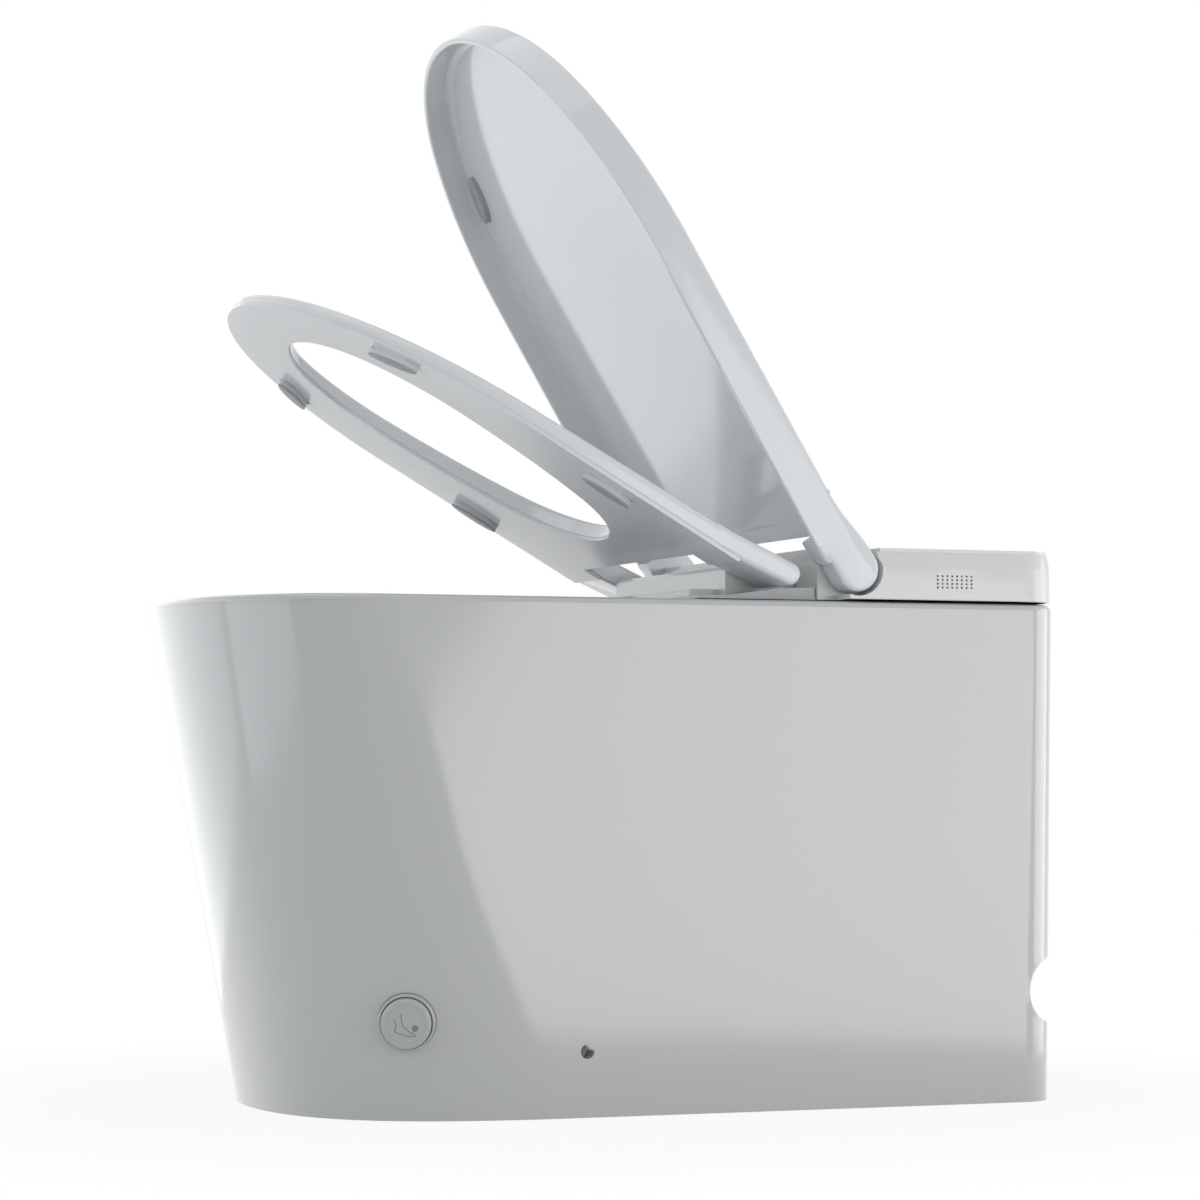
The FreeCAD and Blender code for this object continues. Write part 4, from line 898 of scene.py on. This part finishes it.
@dataclass
class Housing:
    """Rear housing with sloped shoulders, scoops for the lid's ears and an air grille."""

    half: float = 192.0
    front: float = 152.0
    rear: float = 363.5
    base_z: float = 407.0
    top_z: float = 446.0
    drop: float = 12.0
    inset: float = 8.0
    rear_inset: float = 1.0
    bevel: float = 0.8
    corner_r: float = 38.0
    neck: float = 166.0
    scoop_r: float = 21.4
    scoop_lip: float = 2.2
    low_y: float = 167.0
    lid_axis: tuple[float, float] = (177.1, 431.0)
    grille: tuple[int, int] = (8, 4)

    def plan(self, inset: float, nose: float, back: float) -> Array:
        """Plan with round rear corners and tight front corners, drawn in at sides, front and back."""
        half, front, rear = self.half - inset, self.front + nose, self.rear - back
        tight = 0.6
        parts = [
            corner((tight - half, front + tight), tight, 180.0, 4),
            straight((tight - half, front), (half - tight, front), 20),
            corner((half - tight, front + tight), tight, 270.0, 4),
            tail(half, front + tight, rear, self.corner_r - inset),
        ]
        return np.concatenate(parts)

    def grille_cutter(self) -> bpy.types.Object:
        """Round plugs in rows, joined in one mesh, that cut the grille's holes."""
        columns, rows = np.meshgrid(np.arange(self.grille[0]), np.arange(self.grille[1]), indexing="ij")
        places = np.stack([247.0 + columns.ravel() * 4.33, 417.4 + rows.ravel() * 3.07], 1)
        ring = circle(1.0, 12)
        verts, faces = [], []
        for index, place in enumerate(places):
            base = index * 24
            for x in (188.5, 194.0):
                verts.append(np.column_stack([np.full(12, x), ring + place]))
            pairs = [(j, (j + 1) % 12) for j in range(12)]
            side = [[base + j, base + k, base + 12 + k, base + 12 + j] for j, k in pairs]
            faces += side + [list(range(base + 11, base - 1, -1)), list(range(base + 12, base + 24))]
        mesh = bpy.data.meshes.new("cut_grille")
        mesh.from_pydata((np.concatenate(verts) * MM).tolist(), [], faces)
        made = bpy.data.objects.new("cut_grille", mesh)
        bpy.context.scene.collection.objects.link(made)
        return made

    def cutters(self) -> list[bpy.types.Object]:
        """Room beside the neck for the lid's ears, and the grille."""
        y, z = self.lid_axis
        cuts = [self.grille_cutter()]
        for low, high in ((self.neck, 200.0), (-200.0, -self.neck)):
            name = "right" if low > 0 else "left"
            back = self.scoop_r - self.scoop_lip
            turn = np.linspace(math.radians(-110.0), math.acos(back / self.scoop_r), 41)
            scoop = np.stack([y + self.scoop_r * np.cos(turn), z + self.scoop_r * np.sin(turn)], 1)
            room = np.array([(y + back, 460.0), (140.0, 460.0), (140.0, 400.0), (self.low_y, 400.0)])
            cuts.append(prism(f"cut_scoop_{name}", np.concatenate([room, scoop]), 0, low, high))
        return cuts

    def build(self) -> None:
        """Make the cover and let it stand for the CAD cover."""
        waist = self.top_z - self.drop
        wall, bevel = self.plan(0.0, 0.0, 0.0), self.bevel
        rings = [level(self.plan(bevel, bevel, bevel), self.base_z)]
        rings += [level(wall, self.base_z + bevel), level(wall, waist - bevel)]
        for share in (0.05, 0.95):
            slope = self.plan(self.inset * share, 0.0, self.rear_inset * share)
            rings.append(level(slope, waist + self.drop * share))
        rings.append(level(self.plan(self.inset + 0.6, 1.5, self.rear_inset + 0.6), self.top_z))
        cover = grid_mesh("housing_cover", np.stack(rings), sharp=25.0)
        carved(cover, [], self.cutters(), sharp=25.0)
        dress(cover, HOUSING_WHITE, Body.TOILET, ("rear_cover",))


# ------------------------------------------------------------------ foot button


@dataclass
class FootButton:
    """Round foot button on the skirt, with its ring, cap and raised mark."""

    casting: Casting
    ring_r: float = 22.4
    ring_top: float = 5.4
    cap_r: float = 19.5
    cap_top: float = 11.0
    groove_r: float = 15.3
    line_r: float = 0.32
    mark: tuple[tuple[float, float], ...] = (
        (-8.9, 4.1), (-7.9, 1.0), (-7.5, -2.4), (-8.4, -4.8), (-8.2, -6.0), (-6.3, -6.6), (-2.4, -7.9),
        (2.1, -9.2), (6.4, -9.4), (7.5, -8.4), (6.4, -7.4), (3.8, -6.3), (0.7, -4.1), (-2.0, -1.2),
        (-3.2, 2.1), (-3.4, 8.4),
    )
    dot: tuple[float, float] = (7.2, -3.1)

    def build(self) -> None:
        """Make the ring, the cap and the foot mark."""
        centre, out = self.casting.button_frame()
        r, t = self.ring_r, self.ring_top
        ring = [(20.1, -1.9), (8.6, -1.9), (8.6, -6.0), (r, -6.0), (r, t - 1.6), (r - 0.3, t - 0.8)]
        ring += [(r - 0.9, t - 0.2), (r - 1.6, t), (20.7, t), (20.2, t - 0.4), (20.1, t - 1.0)]
        dress(lathe("button_ring", ring, centre, out, True), BUTTON_WHITE, Body.TOILET,
              ("foot_button_bezel",))
        c, h, g = self.cap_r, self.cap_top, self.groove_r
        cap = [(8.0, -13.0), (8.0, 2.5), (c, 2.5), (c, h - 1.8), (c - 0.5, h - 0.7), (c - 1.5, h - 0.05)]
        cap += [(c - 2.4, h), (g + 0.3, h), (g, h - 0.3), (g - 0.1, h - 0.6), (0.5, h - 0.6)]
        dress(lathe("button_cap", cap, centre, out, False), BUTTON_WHITE, Body.BUTTON,
              ("foot_button_cap",))
        first, second, way = (np.array(v) for v in frame_of(out))
        points = np.array(self.mark)
        dense = self.smooth(points)
        path = np.array(centre) + dense[:, :1] * first + dense[:, 1:] * second + (h - 0.62) * way
        dress(self.line("button_mark", path, way), MARK_GREY, Body.BUTTON)
        x, y = self.dot
        base = Vector(np.array(centre) + x * first + y * second)
        dot = lathe("button_dot", [(2.5, h - 1.0), (2.5, h - 0.5), (0.3, h - 0.4)], base, out, False, 24)
        dress(dot, MARK_GREY, Body.BUTTON)

    @staticmethod
    def smooth(points: Array) -> Array:
        """Run a smooth curve through points: each span is a cubic with its neighbours' slopes."""
        padded = np.concatenate([points[:1], points, points[-1:]])
        s = np.linspace(0.0, 1.0, 7)[:-1, None]
        spans = []
        for a, b, c, d in zip(padded, padded[1:], padded[2:], padded[3:]):
            spans.append(0.5 * (2 * b + (c - a) * s + (2 * a - 5 * b + 4 * c - d) * s**2
                                + (3 * b - a - 3 * c + d) * s**3))
        return np.concatenate(spans + [points[-1:]])

    def line(self, name: str, path: Array, up: Array) -> bpy.types.Object:
        """Thin round line laid along a path in the cap's face."""
        along = np.gradient(path, axis=0)
        along /= np.linalg.norm(along, axis=1, keepdims=True)
        across = np.cross(along, up)
        turn = circle(self.line_r, 8)
        rings = path[:, None] + turn[None, :, :1] * across[:, None] + turn[None, :, 1:] * up
        return grid_mesh(name, rings[:, ::-1])


# ------------------------------------------------------------------ CAD nodes kept as they are


@dataclass
class Fittings:
    """CAD nodes that are shown as they are, each with its finish."""

    finishes: dict[str, Finish] = field(
        default_factory=lambda: {
            "outlet_seal": SEAL_DARK,
            "floor_brackets": ZINC,
            "foot_switch": DARK_PLASTIC,
            "unit_base": BASE_WHITE,
            "deck_gasket": SEAL_DARK,
            "unit_bolts": STEEL,
            "unit_nuts": PALE_PLASTIC,
            "rear_top_plate": HOUSING_WHITE,
            "nozzle_housing": HOUSING_WHITE,
            "nozzle_wand": BRIGHT_STEEL,
            "nozzle_shield": HOUSING_WHITE,
            "nozzle_carriage": DARK_PLASTIC,
            "nozzle_guide": DARK_PLASTIC,
            "nozzle_motor": STEEL,
            "seat_bottom_plate": PLATE_WHITE,
            "seat_heater": FOIL,
            "seat_dampers": STEEL,
            "lid_drive": DARK_PLASTIC,
            "lid_damper": DARK_PLASTIC,
            "water_heater": DARK_PLASTIC,
            "power_supply": STEEL,
            "control_board": BOARD,
            "fan_housing": DARK_PLASTIC,
            "fan_wheel": DARK_PLASTIC,
            "deodoriser": DARK_PLASTIC,
            "inlet_valve": PALE_PLASTIC,
            "inlet_fitting": BRASS,
            "flush_hose": HOSE,
            "cable_gland": DARK_PLASTIC,
        }
    )

    def build(self) -> None:
        """Give every shown CAD node its finish."""
        for name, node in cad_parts.items():
            if node.hide_render:
                continue
            finish = self.finishes[name]
            node.data.materials.clear()
            node.data.materials.append(finish.material())
            LOG.info("%s: %s", name, finish.name)


# ------------------------------------------------------------------ studio


@dataclass(frozen=True)
class Panel:
    """One soft rectangular lamp.

    Attributes:
        name: Name of the lamp.
        azimuth: Direction from the toilet, in degrees from X towards Y.
        away: Level distance from the toilet, in metres.
        height: Height of its middle.
        size: Width and height of the panel.
        strength: Power for each square metre of the panel, in units of 4 W.
        colour: Tint of the light.
        roll: Turn of the panel in its own plane, in degrees.
    """

    name: str
    azimuth: float
    away: float
    height: float
    size: tuple[float, float]
    strength: float
    colour: tuple[float, float, float]
    roll: float = 0.0


@dataclass
class Studio:
    """White room, soft panels of light and the camera."""

    camera_at: tuple[float, float, float] = (2.9036, -1.0867, 0.2715)
    azimuth: float = 21.0
    rise: float = 2.582
    lens: float = 111.72
    floor_white: float = 0.9
    floor_r: float = 0.8
    room: tuple[float, float, float] = (0.47, 0.48, 0.488)
    panels: tuple[Panel, ...] = (
        Panel("side_panel", 29.0, 1.83, 0.2, (1.1, 1.1), 1.3, (1.0, 1.0, 1.0), -32.0),
        Panel("rear_panel", 78.0, 2.2, 0.5, (1.6, 1.3), 1.3, (1.0, 1.0, 1.0)),
        Panel("front_panel", -88.0, 1.9, 0.5, (1.6, 1.4), 0.6, (0.95, 0.99, 1.0)),
        Panel("left_panel", -145.0, 2.0, 0.6, (2.4, 1.6), 0.4, (0.93, 0.98, 1.0)),
        Panel("top_panel", -60.0, 0.5, 2.4, (1.8, 1.8), 0.5, (1.0, 1.0, 1.0)),
    )

    @staticmethod
    def white_share(nodes: bpy.types.Nodes, links: bpy.types.NodeLinks) -> bpy.types.NodeSocket:
        """Light path switch for the white background.

        Args:
            nodes: Nodes of the material or world.
            links: Its links.

        Returns:
            A socket that is 1 for camera, glossy and transmission rays, and 0 for the rest.
        """
        path = nodes.new("ShaderNodeLightPath")
        total = path.outputs["Is Camera Ray"]
        for ray in ("Is Glossy Ray", "Is Transmission Ray"):
            join = nodes.new("ShaderNodeMath")
            join.operation = "MAXIMUM"
            links.new(total, join.inputs[0])
            links.new(path.outputs[ray], join.inputs[1])
            total = join.outputs["Value"]
        return total

    def backdrop(self) -> None:
        """Round pale floor with the toilet's faint shadow, which fades into the white background.

        The white share rises smoothly from its plain value to 1 between two distances from
        the toilet, so that no horizon shows.
        """
        mesh = bpy.data.meshes.new("studio_floor")
        rim = np.column_stack([circle(self.floor_r, 96), np.full(96, -0.0005)])
        mesh.from_pydata(rim.tolist(), [], [list(range(96))])
        floor = bpy.data.objects.new("studio_floor", mesh)
        bpy.context.scene.collection.objects.link(floor)
        made = bpy.data.materials.new("studio_floor")
        made.use_nodes = True
        nodes, links = made.node_tree.nodes, made.node_tree.links
        shader = nodes["Principled BSDF"]
        shader.inputs["Base Color"].default_value = (0.8, 0.8, 0.8, 1.0)
        shader.inputs["Roughness"].default_value = 0.9
        place, far = nodes.new("ShaderNodeTexCoord"), nodes.new("ShaderNodeVectorMath")
        ramp = nodes.new("ShaderNodeMapRange")
        far.operation = "LENGTH"
        ramp.interpolation_type = "SMOOTHSTEP"
        ramp.inputs["From Min"].default_value = 0.5 * self.floor_r
        ramp.inputs["From Max"].default_value = 0.97 * self.floor_r
        ramp.inputs["To Min"].default_value = self.floor_white
        links.new(place.outputs["Object"], far.inputs[0])
        links.new(far.outputs["Value"], ramp.inputs["Value"])
        white, mix = nodes.new("ShaderNodeEmission"), nodes.new("ShaderNodeMixShader")
        share = nodes.new("ShaderNodeMath")
        share.operation = "MULTIPLY"
        links.new(self.white_share(nodes, links), share.inputs[0])
        links.new(ramp.outputs["Result"], share.inputs[1])
        links.new(share.outputs["Value"], mix.inputs["Fac"])
        links.new(shader.outputs["BSDF"], mix.inputs[1])
        links.new(white.outputs["Emission"], mix.inputs[2])
        links.new(mix.outputs["Shader"], nodes["Material Output"].inputs["Surface"])
        mesh.materials.append(made)

    def world(self) -> None:
        """White to camera, glossy and transmission rays, a plain soft fill to the rest."""
        world = bpy.data.worlds.new("studio")
        bpy.context.scene.world = world
        world.use_nodes = True
        nodes, links = world.node_tree.nodes, world.node_tree.links
        fill, white = nodes["Background"], nodes.new("ShaderNodeBackground")
        fill.inputs["Color"].default_value = (*self.room, 1.0)
        fill.inputs["Strength"].default_value = 1.0
        white.inputs["Color"].default_value = (1.0, 1.0, 1.0, 1.0)
        mix = nodes.new("ShaderNodeMixShader")
        links.new(self.white_share(nodes, links), mix.inputs["Fac"])
        links.new(fill.outputs["Background"], mix.inputs[1])
        links.new(white.outputs["Background"], mix.inputs[2])
        links.new(mix.outputs["Shader"], nodes["World Output"].inputs["Surface"])

    @staticmethod
    def lamp(panel: Panel) -> None:
        """Add one soft panel that faces the toilet and stays out of the camera's sight."""
        turn = math.radians(panel.azimuth)
        place = Vector((panel.away * math.cos(turn), panel.away * math.sin(turn), panel.height))
        data = bpy.data.lights.new(panel.name, "AREA")
        data.shape = "RECTANGLE"
        data.size, data.size_y = panel.size
        data.energy = 4.0 * panel.size[0] * panel.size[1] * panel.strength
        data.color = panel.colour
        lamp = bpy.data.objects.new(panel.name, data)
        lamp.location = place
        facing = (Vector((0.0, 0.0, 0.25)) - place).to_track_quat("-Z", "Y")
        lamp.rotation_euler = (facing @ Quaternion((0.0, 0.0, 1.0), math.radians(panel.roll))).to_euler()
        lamp.visible_camera = False
        bpy.context.scene.collection.objects.link(lamp)

    def build(self) -> None:
        """Set the room, its light and the camera."""
        self.backdrop()
        self.world()
        for panel in self.panels:
            self.lamp(panel)
        turn, rise = math.radians(self.azimuth), math.radians(self.rise)
        aim = Vector((-math.cos(turn) * math.cos(rise), math.sin(turn) * math.cos(rise), math.sin(rise)))
        data = bpy.data.cameras.new("camera")
        data.lens = self.lens
        data.sensor_width = 36.0
        camera = bpy.data.objects.new("camera", data)
        camera.location = self.camera_at
        camera.rotation_euler = aim.to_track_quat("-Z", "Y").to_euler()
        bpy.context.scene.collection.objects.link(camera)
        bpy.context.scene.camera = camera
        bpy.context.scene.view_settings.view_transform = "Standard"


def main() -> None:
    """Build every sub-assembly in order."""
    logging.basicConfig(level=logging.INFO, format="%(message)s")
    casting = Casting()
    casting.build()
    Seat().build()
    Lid().build()
    Housing().build()
    FootButton(casting).build()
    Fittings().build()
    Studio().build()


if __name__ == "__main__":
    main()
